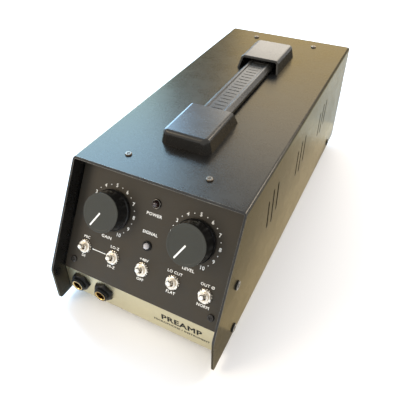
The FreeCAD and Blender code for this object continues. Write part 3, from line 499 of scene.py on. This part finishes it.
panelPlace = placeAt(panelFoot, panelRight, panelUp)     # the panel's face, middle of the two dials
stripPlace = placeAt(Vector((0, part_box("jack_nuts")[1].y, 0)), Vector((1, 0, 0)), Vector((0, 0, 1)))
rearPlace = placeAt(Vector((0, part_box("rear_panel")[1].y, 0)), Vector((-1, 0, 0)), Vector((0, 0, 1)))
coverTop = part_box("outer_cover")[1].z


def onPanel(point):
    local = panelPlace.inverted() @ point
    return Vector((local.x, local.y)) / mm


toggleNames = ("source", "impedance", "phantom", "low_cut", "polarity")
togglePlaces = [onPanel(jointPoint(name + "_flip")) for name in toggleNames]
dialPlaces = {name: onPanel(jointPoint(name + "_turn")) for name in ("gain", "level")}
lampPlaces = {name: onPanel(middle(name + "_lamp_bezel")) for name in ("power", "signal")}
print("places ready")


# the case: folded sheet with its edges just broken
caseSheets = {
    "outer_cover": ("coverShell", coverPowder, 0.28, "cover_powder"),
    "front_panel": ("frontPlate", panelPaint, 0.20, "panel_black"),
    "rear_panel": ("rearPlate", panelPaint, 0.20, "panel_black"),
    "chassis": ("chassisPan", champagneSteel, 0.15, "champagne_steel"),
}
for node, (name, material, width, slotName) in caseSheets.items():
    eased(node, width, [material], name)
print("case ready")


# printed scales and words on the front panel
panelPrint = {
    "scaleRadius": 17.0,
    "numeralStep": 30.0,
    "firstAngle": -150.0,
    "numerals": 11,
    "numeralSize": 2.5,
    "dotRadius": 0.33,
    "inkHeight": 0.03,
    "wordSize": 2.05,
    "smallSize": 1.85,
    "wordGap": 6.7,          # toggle words above and below their nuts
    "linkEnds": 6.0,         # bare ends of the line that joins two toggles
    "linkHalf": 0.25,
    "dialWordDrop": 19.0,
    "powerWordDrop": 7.4,
    "signalWordRise": 8.6,
    "toggleWords": (("MIC", "DI"), ("LO-Z", "HI-Z"), ("+48V", "OFF"), ("LO CUT", "FLAT"), ("OUT Ø", "NORM")),
}


def words(bm, text, size, centre, height, stretch=1.12, weight=0.022):
    curve = bpy.data.curves.new("words", "FONT")
    curve.body = text
    curve.size = size * 1.36      # gives capitals of the height asked for
    curve.align_x = "CENTER"
    curve.align_y = "CENTER"
    curve.bevel_depth = size * weight
    curve.bevel_resolution = 0
    curve.space_character = 1.08
    curve.extrude = height / 2
    curve.resolution_u = 3
    made = bpy.data.objects.new("words", curve)
    bpy.context.scene.collection.objects.link(made)
    bpy.context.view_layer.update()
    mesh = plain(made)
    low = min(v.co.y for v in mesh.vertices)
    high = max(v.co.y for v in mesh.vertices)
    thick = 2 * max(v.co.z for v in mesh.vertices)
    shift = Matrix.Translation((0, -(low + high) / 2, height / 2)) @ Matrix.Diagonal((1, 1, height / thick, 1))
    add(bm, mesh, 0, Matrix.Translation((*centre, 0)) @ Matrix.Diagonal((stretch, 1, 1, 1)) @ shift)


def frontPrint(spec):
    bm = bmesh.new()
    ink, radius, step = spec["inkHeight"], spec["scaleRadius"], math.radians(spec["numeralStep"])
    first = math.radians(spec["firstAngle"])
    for centre in dialPlaces.values():
        for k in range(spec["numerals"]):
            angle = first + step * k
            spot = (centre.x + radius * math.sin(angle), centre.y + radius * math.cos(angle))
            words(bm, str(k), spec["numeralSize"], spot, ink, stretch=1.0)
        dot = bmesh.new()
        lathe(dot, [(0, 0), (spec["dotRadius"], 0), (spec["dotRadius"], ink), (0, ink)], 16)
        ring = repeated(dot, spec["numerals"] - 1, Radius=radius, Turn=step, First=first + step / 2, Finish=printInk)
        add(bm, ring, 0, Matrix.Translation((*centre, 0)))
    low = dialPlaces["gain"].y - spec["dialWordDrop"]
    for text, spot in (("GAIN", (dialPlaces["gain"].x, low)), ("LEVEL", (dialPlaces["level"].x, low)),
                       ("POWER", (0, lampPlaces["power"].y - spec["powerWordDrop"])),
                       ("SIGNAL", (0, lampPlaces["signal"].y + spec["signalWordRise"]))):
        words(bm, text, spec["wordSize"], spot, ink)
    for centre, (above, below) in zip(togglePlaces, spec["toggleWords"]):
        words(bm, above, spec["smallSize"], (centre.x, centre.y + spec["wordGap"]), ink)
        words(bm, below, spec["smallSize"], (centre.x, centre.y - spec["wordGap"]), ink)
    start, stop = togglePlaces[0], togglePlaces[1]
    slab(bm, rectangle(start.x + spec["linkEnds"], stop.x - spec["linkEnds"], start.y - spec["linkHalf"],
                       start.y + spec["linkHalf"], 0.1), 0.0, ink)
    piece("panelLegend", bm, panelPlace, [printInk], sharp=60.0)


frontPrint(panelPrint)
print("front print ready")


# the two dials
knobShape = {
    "skirt": 14.2,
    "stand": 0.5,
    "skirtTop": 2.9,
    "grip": 13.0,
    "top": 13.7,
    "edge": 0.7,
    "flare": 0.55,               # how far the grip spreads above the skirt, and how high
    "flareHigh": 0.7,
    "faceRim": 1.5,              # width of the raised rim round the face
    "faceSink": 0.1,
    "recess": 7.0,
    "recessTop": 5.1,
    "shaft": 3.05,
    "shaftTop": 11.7,
    "pointer": (0.35, 12.2),     # its two ends, from the centre
    "pointerWidth": 1.05,
    "pointerTurn": -150.0,
    "screwUp": 7.6,
    "screw": 1.55,
}


def knob(name, spec):
    bm = bmesh.new()
    grip, edge, top = spec["grip"], spec["edge"], spec["top"]
    inside, sunk = grip - spec["faceRim"], top - spec["faceSink"]
    under = [(0, spec["shaftTop"]), (spec["shaft"], spec["shaftTop"]), (spec["shaft"], spec["recessTop"]),
             (spec["recess"], spec["recessTop"]), (spec["recess"], spec["stand"]), (spec["skirt"], spec["stand"]),
             (spec["skirt"], spec["skirtTop"]), (grip + spec["flare"], spec["skirtTop"] + spec["flareHigh"]),
             (grip, top - edge)]
    lathe(bm, rounded(under, 0.3), 96, material=1)
    face = [(grip, top - edge), (grip - 0.05, top), (inside, top), (inside - 0.2, top - 0.08), (6.0, sunk), (0.0, sunk)]
    lathe(bm, rounded(face, 0.6, 5), 96, material=0)
    bmesh.ops.remove_doubles(bm, verts=bm.verts, dist=0.0005)
    bm = drilled(bm, spec["screw"], Vector((0, 3.5, spec["screwUp"])), Vector((0, 20, spec["screwUp"])))
    start, stop = spec["pointer"]
    half = spec["pointerWidth"] / 2
    line = bmesh.new()
    slab(line, rectangle(-half, half, start, stop, 0.2), top - 0.4, top - 0.04, 0.04)
    line.transform(Matrix.Rotation(-math.radians(spec["pointerTurn"]), 4, "Z"))
    stroke = bpy.data.meshes.new("stroke")
    line.to_mesh(stroke)
    line.free()
    add(bm, stroke, 2)
    place = panelPlace @ Matrix.Translation((*(dialPlaces[name] * mm), 0))
    piece(name + "Dial", bm, place, [knobPlastic, knobSkirt, printInk], name + "_control", [name + "_knob"],
          50.0)


for name in dialPlaces:
    knob(name, knobShape)
print("dials ready")


# toggles: nut over a toothed washer, threaded bushing, bat lever
toggleShape = {
    "flats": 8.5,
    "bore": 3.12,
    "thick": 2.0,
    "turnStep": 17.0,
    "washer": 4.75,
    "washerThick": 0.3,
    "teeth": 18,
    "toothDeep": 0.6,
    "toothHalf": 0.28,
    "sheetBack": -1.62,      # behind this the unit is red plastic, ahead of it bright thread
}


def toggleHardware(spec):
    bm = bmesh.new()
    for k, centre in enumerate(togglePlaces):
        low = spec["washerThick"]
        bore, root = spec["bore"], spec["washer"] - spec["toothDeep"] + 0.05
        lathe(bm, [(bore, 0), (root, 0), (root, low), (bore, low), (bore, 0)], 48, centre)
        tooth = bmesh.new()
        slab(tooth, rectangle(-spec["toothHalf"], spec["toothHalf"], -spec["toothDeep"], 0.0, 0.08), 0.02, low + 0.06)
        teeth = repeated(tooth, spec["teeth"], Radius=spec["washer"], Turn=2 * math.pi / spec["teeth"], First=0.1 * k)
        add(bm, teeth, 0, Matrix.Translation((*centre, 0)))
        hexNut(bm, spec["flats"], bore, spec["thick"] - low, 30 + spec["turnStep"] * (k + 0.5), centre, low)
    piece("toggleNuts", bm, panelPlace, [nickelPlate], nodes=["switch_nuts"])


toggleHardware(toggleShape)


def beyondSheet(point):
    return (panelPlace.inverted() @ point).z / mm > toggleShape["sheetBack"]


for name in toggleNames:
    eased(name + "_switch", 0.15, [switchCase, threadNickel], name + "ToggleUnit",
          second=beyondSheet)
print("toggles ready")


# lamps: the ring's profile, the dome's top, then finishes and slots
lampShapes = {
    "power": ([(2.13, -10.6), (2.85, -10.6), (2.85, 0.0), (3.3, 0.0), (3.3, 0.75), (2.95, 1.2), (2.6, 1.2), (2.13, 0.6),
               (2.13, -10.6)], 3.5, darkNickel, lensRed, "nickel", "lamp_red"),
    "signal": ([(2.13, -10.6), (2.85, -10.6), (2.85, 0.0), (3.3, 0.0), (3.3, 0.7), (2.9, 1.2), (2.45, 1.2), (2.13, 0.9),
                (2.13, -10.6)], 3.3, jackPlastic, lensClear, "black_plastic", "lamp_clear"),
}


def lamp(name, profile, top, bezelFinish, lensFinish, bezelSlot, lensSlot):
    place = panelPlace @ Matrix.Translation((*(lampPlaces[name] * mm), 0))
    bm = bmesh.new()
    lathe(bm, rounded(profile, 0.18, 3), 64)
    piece(name + "LampRing", bm, place, [bezelFinish], nodes=[name + "_lamp_bezel"])
    bm = bmesh.new()
    radius = 2.08
    dome = [(radius * math.cos(turn), top - radius + radius * math.sin(turn))
            for turn in (k * math.pi / 24 for k in range(12))]
    lathe(bm, [(0, -10.5), (1.5, -10.5), (1.5, -8.0), (radius, -8.0), *dome, (0, top)], 48)
    piece(name + "LampDome", bm, place, [lensFinish], nodes=[name + "_lamp_lens"])


for name, details in lampShapes.items():
    lamp(name, *details)
print("lamps ready")


# front jacks: faceted black nuts, gold throats
for node, width, name in (("jack_nuts", 0.3, "jackCollars"), ("instrument_jack", 0.35, "instrumentSocket"),
                          ("through_jack", 0.35, "throughSocket")):
    eased(node, width, [jackPlastic], name)
throatShape = {
    "bore": 3.27,
    "sleeve": 4.3,
    "lip": 4.7,
    "gold": 4.0,             # the black collar covers the lip outside this
    "front": 5.0,
    "lipThick": 0.6,
    "back": -7.2,
}


def jackThroats(spec):
    bm = bmesh.new()
    front, lip = spec["front"], spec["lipThick"]
    for node in ("instrument_jack", "through_jack"):
        place = middle(node) / mm
        inner = [(spec["gold"], front), (spec["bore"] + 0.25, front - 0.02), (spec["bore"], front - 0.35),
                 (spec["bore"], spec["back"]), (spec["sleeve"], spec["back"]), (spec["sleeve"], front - lip)]
        outer = [(spec["sleeve"], front - lip), (spec["lip"], front - lip), (spec["lip"], front - 0.15),
                 (spec["lip"] - 0.15, front), (spec["gold"], front)]
        lathe(bm, inner, 48, (place.x, place.z), 0)
        lathe(bm, outer, 48, (place.x, place.z), 1)
    piece("jackThroats", bm, stripPlace, [goldPlate, jackPlastic], nodes=["jack_ferrules"])


jackThroats(throatShape)
print("jacks ready")


# carrying handle: two end caps and the ribbed strap between them
strapShape = {
    "easing": 0.25,
    "ribCount": 26,
    "ribHalfWidth": 4.6,
    "ribLength": 1.1,
    "ribHeight": 0.42,
    "ribSpan": (-47.0, 83.5),
    "grooveTop": 109.62,
}


def strap(spec):
    bm = bmesh.new()
    add(bm, bevelled("handle_strap", spec["easing"]), 0, Matrix.Scale(1 / mm, 4))
    rib = bmesh.new()
    half, length = spec["ribHalfWidth"], spec["ribLength"] / 2
    slab(rib, rectangle(-half, half, -length, length, length * 0.95), -0.2, spec["ribHeight"], 0.16)
    low, high = spec["ribSpan"]
    step = (high - low) / (spec["ribCount"] - 1)
    add(bm, repeated(rib, spec["ribCount"], Start=(0, low, spec["grooveTop"]), Step=(0, step, 0), Finish=strapRubber))
    piece("carryStrap", bm, Matrix(), [strapRubber], nodes=["handle_strap"])


strap(strapShape)


capShape = {
    "base": 104.4,
    "closedEnd": -73.0,      # the front cap's; the rear one mirrors it
    "middle": 18.25,
    "long": 42.5,
    "half": 19.0,
    "height": 10.6,
    "wall": 1.8,
    "corner": 5.0,
    "soft": 3.2,
    "draft": 2.2,
    "faceDraft": 0.9,
    "rake": 5.0,
    "lip": 0.35,
}


def arch(half, height, soft, spec, y, lean, steps=8):
    points = []
    side = height - soft
    for sign in (-1, 1):
        run = [(sign * half, 0.0), (sign * (half - spec["draft"] * side / spec["height"]), side)]
        x = half - spec["draft"] * side / spec["height"]
        for k in range(1, steps + 1):
            turn = math.pi / 2 * k / steps
            run.append((sign * (x - soft * (1 - math.cos(turn))), side + soft * math.sin(turn)))
        points += run if sign < 0 else run[::-1]
    return [(x, y + lean * (z / spec["height"]), spec["base"] + z) for x, z in points]


def cap(name, node, spec, mirror):
    low, steps = spec["closedEnd"], 9
    rings = []
    for wall in (0.0, spec["wall"]):
        corner, soft = spec["corner"] - wall, spec["soft"] - wall * 0.6
        rows = []
        for k in range(steps + 1):
            share = 1 - math.cos(math.pi / 2 * k / steps)
            depth = corner * share
            inset = corner - math.sqrt(max(0.0, corner ** 2 - (corner - depth) ** 2))
            drop = soft - math.sqrt(max(0.0, soft ** 2 - (soft - min(depth, soft)) ** 2))
            rows.append(arch(spec["half"] - wall - inset, spec["height"] - wall - drop, soft, spec, low + wall + depth,
                             spec["faceDraft"] * (1 - share)))
        mouth = low + spec["long"] + spec["rake"] - (spec["lip"] if wall else 0.0)
        for reach, lean in ((0.5, 0.5), (1.0, 1.0)):
            rows.append(arch(spec["half"] - wall, spec["height"] - wall, soft, spec,
                             low + corner + (mouth - low - corner) * reach, -spec["rake"] * lean))
        rings.append(rows)
    outer, inner = rings
    lip = arch(spec["half"] - 0.02, spec["height"] - 0.02, spec["soft"], spec, low + spec["long"] + spec["rake"] - 0.3,
               -spec["rake"])
    lipFace = arch(spec["half"] - 0.45, spec["height"] - 0.45, spec["soft"] - 0.3, spec,
                   low + spec["long"] + spec["rake"], -spec["rake"])
    bm = bmesh.new()
    rows = loft(bm, outer[:-1] + [lip, lipFace] + inner[::-1], closed=False, ends=False)
    bm.faces.new(rows[0][::-1])
    bm.faces.new(rows[-1])
    left, right = [row[0] for row in rows], [row[-1] for row in rows]
    bm.faces.new(left + right[::-1])
    if mirror:
        bm.transform(Matrix.Translation((0, 2 * spec["middle"], 0)) @ Matrix.Diagonal((1, -1, 1, 1)))
    piece(name, bm, Matrix(), [capPlastic], nodes=[node], sharp=50.0)


cap("frontStrapCap", "front_handle_cap", capShape, False)
cap("rearStrapCap", "rear_handle_cap", capShape, True)
print("handle ready")


# screws: what stands over the cover is worn bare
def onTop(point):
    return point.z > coverTop + 0.0001


eased("case_screws", 0.12, [blackOxide, wornSteel], "caseScrews", second=onTop)
eased("side_screws", 0.2, [blackOxide], "sideScrews")
print("screws ready")


# words on the strip under the panel and on the back
stripWords = (("PREAMP", 5.2, (33.0, 19.6)), ("MICROPHONE / INSTRUMENT", 1.9, (33.0, 14.2)))
rearWords = (("MIC INPUT", 2.4, (-38.0, 98.2)), ("LINE OUTPUT", 2.2, (-38.0, 60.9)), ("MIC", 2.0, (24.2, 75.2)),
             ("LINE", 2.0, (15.6, 75.2)), ("OUTPUT LEVEL", 2.0, (20.0, 90.2)), ("AC MAINS", 2.2, (20.0, 67.0)))


def legend(name, entries, place, ink, height=0.03, weight=0.022):
    bm = bmesh.new()
    for text, size, centre in entries:
        words(bm, text, size, centre, height, weight=weight)
    piece(name, bm, place, [ink], sharp=60.0)


legend("stripLegend", stripWords, stripPlace, darkInk, weight=0.045)
legend("rearLegend", rearWords, rearPlace, printInk)


# connectors on the back
for node, width, name in (("mic_input_socket", 0.3, "micInputShell"), ("line_output_socket", 0.3, "lineOutputShell"),
                          ("power_inlet", 0.4, "mainsInletShell")):
    eased(node, width, [jackPlastic], name)
eased("power_rocker", 0.3, [jackPlastic], "mainsRocker", body="mains_rocker")
eased("mic_input_latch", 0.3, [nickelPlate], "micRelease", body="mic_latch")
eased("rubber_feet", 0.3, [footRubber], "rubberFeet")
eased("level_slider", 0.3, [jackPlastic], "levelSlide", body="level_selector")
print("back ready")


# inside: wound toroid, laminated core, fitted board
insideShape = {
    "wraps": 54,
    "wrapShare": 0.82,       # of the room that each turn of tape has
    "wrapLift": 0.12,
    "fillet": 7.0,
    "clear": 25.5,           # the clamp's plate covers the rest
    "flange": 4.0,           # bare height at the foot of the winding
    "rows": {                # start of each row on the board, how many, step
        "resistor": (((-42.0, -33.0), 7, 6.0), ((-42.0, -22.5), 7, 6.0)),
        "can": (((-38.0, -76.5), 9, 9.5),),
        "chip": (((-38.0, 10.0), 5, 17.0),),
    },
    "resistor": ((0, -3.3), (1.25, -3.3), (1.25, -2.1), (1.0, -1.7), (1.0, 1.7), (1.25, 2.1), (1.25, 3.3), (0, 3.3)),
    "resistorLift": 1.4,
    "lead": (0.3, 3.2, 4.6),
    "can": ((0, 0), (2.5, 0), (2.5, 1.0), (2.3, 1.3), (2.5, 1.6), (2.5, 7.0), (1.9, 7.0), (1.8, 6.8), (0, 6.8)),
    "chip": (4.8, 3.1, 0.6, 3.9),
    "pins": 4,
    "pinFirst": -3.8,
    "pinStep": 2.54,
}
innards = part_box("power_transformer")
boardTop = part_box("input_transformer")[0].z / mm


def woundToroid(spec):
    centre = (innards[0] + innards[1]) / 2 / mm
    outer = (innards[1].x - innards[0].x) / 2 / mm
    high, low, fillet = innards[1].z / mm, innards[0].z / mm + spec["flange"], spec["fillet"]
    trace = [(outer, low, 1.0, 0.0)]
    for k in range(9):
        turn = math.pi / 2 * k / 8
        trace.append((outer - fillet * (1 - math.cos(turn)), high - fillet * (1 - math.sin(turn)), math.cos(turn),
                      math.sin(turn)))
    trace.append((spec["clear"], high, 0.0, 1.0))
    wrap = bmesh.new()
    rows = []
    for radius, height, across, up in trace:
        half = math.pi * radius / spec["wraps"] * spec["wrapShare"]
        rows.append([(side * half * inset, radius + lift * across, height + lift * up)
                     for side, inset, lift in ((-1, 1, -0.1), (-1, 0.86, spec["wrapLift"]), (1, 0.86, spec["wrapLift"]),
                                               (1, 1, -0.1))])
    loft(wrap, rows)
    wraps = repeated(wrap, spec["wraps"], Turn=2 * math.pi / spec["wraps"], Finish=windingTape)
    winding = merged("power_transformer")
    winding.transform(Matrix.Scale(1 / mm, 4))
    bm = bmesh.new()
    add(bm, winding)
    add(bm, wraps, 0, Matrix.Translation((centre.x, centre.y, 0)))
    piece("toroidWinding", bm, Matrix(), [windingTape], nodes=["power_transformer"])


def resistor(spec):
    part = bmesh.new()
    lathe(part, rounded(spec["resistor"], 0.3, 3), 24)
    radius, near, far = spec["lead"]
    for end in (-1, 1):
        lathe(part, [(0, end * near), (radius, end * near), (radius, end * far), (0, end * far)], 12)
    part.transform(Matrix.Translation((0, 0, spec["resistorLift"])) @ Matrix.Rotation(math.radians(90), 4, "X"))
    return part


def can(spec):
    part = bmesh.new()
    lathe(part, rounded(spec["can"], 0.25, 3), 32)
    return part


def chip(spec):
    part = bmesh.new()
    long, wide, low, high = spec["chip"]
    slab(part, rectangle(-long, long, -wide, wide, 0.2), low, high, 0.3)
    pin = bmesh.new()
    slab(pin, rectangle(-0.25, 0.25, -wide - 0.6, -wide + 0.1, 0.05), 0.0, 2.2)
    pins = repeated(pin, spec["pins"], Start=(spec["pinFirst"], 0, 0), Step=(spec["pinStep"], 0, 0))
    add(part, pins.copy())
    add(part, pins, 0, Matrix.Rotation(math.pi, 4, "Z"))
    return part


def boardParts(spec):
    bm = bmesh.new()
    for material, (name, shape) in enumerate((("resistor", resistor), ("can", can), ("chip", chip))):
        for (x, y), count, step in spec["rows"][name]:
            add(bm, repeated(shape(spec), count, Start=(x, y, boardTop), Step=(step, 0, 0)), material)
    piece("boardParts", bm, Matrix(), [resistorBody, sleevePlastic, jackPlastic])


woundToroid(insideShape)
boardParts(insideShape)
eased("output_transformer", 0.4, [coreIron], "outputCore")
eased("main_board", 0.15, [boardMask], "mainBoard")
eased("control_board", 0.15, [boardMask], "controlBoard")
print("inside ready")


# carried-over nodes take their finishes here
finishes = (
    (zincPlate, ("panel_brackets", "foot_screws", "handle_core", "handle_bolts", "transformer_clamp", "level_switch",
                 "gain_knob_screw", "level_knob_screw", "gain_pot", "level_pot")),
    (blackOxide, ("rear_screws",)),
    (nickelPlate, ("pot_nuts", "board_posts", "gain_pot_shaft", "level_pot_shaft",
                   *[name + "_lever" for name in toggleNames])),
    (goldPlate, ("contact_pins",)),
    (canSteel, ("input_transformer",)),
    (sleevePlastic, ("filter_capacitors",)),
    (ribbonGrey, ("ribbon_cable",)),
)
for material, nodes in finishes:
    for node in nodes:
        mesh = frame["nodes"][node].data
        mesh.materials.clear()
        mesh.materials.append(material)
print("carried-over nodes dressed")


# studio
studio = {
    "floor": 30.0,
    "floorColour": (0.93, 0.93, 0.94),
    "sky": (1.0, 1.0, 1.0),
    "skyStrength": 1.05,
    "lights": (      # name, azimuth and height in degrees, distance, width, height, colour, watts
        ("coolWindow", -57.0, 27.0, 1.6, 1.15, 1.15, (0.37, 0.66, 1.0), 60.0),
        ("warmWindow", -7.0, 27.0, 1.7, 0.85, 0.85, (1.0, 0.90, 0.76), 10.0),
        ("warmLeft", -136.0, 36.0, 1.6, 0.6, 0.5, (1.0, 0.86, 0.68), 8.0),
        ("warmRight", 41.0, 33.0, 1.6, 0.4, 0.4, (1.0, 0.88, 0.74), 7.0),
    ),
    "lowPanel": {      # a reflector lying beside the case, seen only in its side
        "size": (0.02, 0.30),
        "centre": (0.071, 0.03, 0.002),
        "turn": -1.5,
        "colour": (1.0, 0.88, 0.64),
        "watts": 0.016,
    },
}


def areaLight(name, size, colour, watts):
    light = bpy.data.lights.new(name, "AREA")
    light.shape = "RECTANGLE"
    light.size, light.size_y = size
    light.color = colour
    light.energy = watts
    holder = bpy.data.objects.new(name, light)
    bpy.context.scene.collection.objects.link(holder)
    return holder


def lightStudio(spec):
    world = bpy.data.worlds.new("softRoom")
    bpy.context.scene.world = world
    world.use_nodes = True
    background = world.node_tree.nodes["Background"]
    background.inputs["Color"].default_value = (*spec["sky"], 1.0)
    background.inputs["Strength"].default_value = spec["skyStrength"]
    for name, azimuth, height, distance, wide, tall, colour, watts in spec["lights"]:
        holder = areaLight(name, (wide, tall), colour, watts)
        turn, lift = math.radians(azimuth), math.radians(height)
        away = Vector((math.sin(turn) * math.cos(lift), math.cos(turn) * math.cos(lift), math.sin(lift)))
        holder.location = away * distance
        holder.rotation_euler = (-away).to_track_quat("-Z", "Y").to_euler()
    low = spec["lowPanel"]
    holder = areaLight("lowPanel", low["size"], low["colour"], low["watts"])
    holder.location = low["centre"]
    holder.rotation_euler = (math.pi, 0.0, math.radians(low["turn"]))
    holder.visible_camera = False
    bm = bmesh.new()
    half = spec["floor"] / 2
    bm.faces.new([bm.verts.new((x * half, y * half, 0.0)) for x, y in ((-1, -1), (1, -1), (1, 1), (-1, 1))])
    mesh = bpy.data.meshes.new("floor")
    bm.to_mesh(mesh)
    bm.free()
    mesh.materials.append(finish("paperFloor", spec["floorColour"], second=(0.92, 0.92, 0.93), rough=0.7,
                                 cloud=2.0, grain=300.0, depth=0.02))
    floor = bpy.data.objects.new("floor", mesh)
    bpy.context.scene.collection.objects.link(floor)


lightStudio(studio)
print("studio ready")


viewpoint = {
    "azimuth": 27.18,        # degrees to the right of straight in front
    "height": 36.73,
    "roll": -0.246,
    "distance": 0.3796,
    "aim": (-0.01778, -0.01702, 0.04798),
    "lens": 40.51,
    "shift": (0.0042, -0.0868),
}


def setCamera(spec):
    view = bpy.data.cameras.new("viewCamera")
    view.lens = spec["lens"]
    view.sensor_width = 36.0
    view.shift_x, view.shift_y = spec["shift"]
    view.clip_start = 0.01
    holder = bpy.data.objects.new("viewCamera", view)
    bpy.context.scene.collection.objects.link(holder)
    turn, lift = math.radians(spec["azimuth"]), math.radians(spec["height"])
    back = Vector((math.sin(turn) * math.cos(lift), -math.cos(turn) * math.cos(lift), math.sin(lift)))
    holder.location = Vector(spec["aim"]) + back * spec["distance"]
    facing = (-back).to_track_quat("-Z", "Y").to_matrix()
    holder.rotation_euler = (facing @ Matrix.Rotation(math.radians(spec["roll"]), 3, "Z")).to_euler()
    bpy.context.scene.camera = holder


setCamera(viewpoint)
bpy.context.scene.view_settings.view_transform = "Standard"

print("finished")
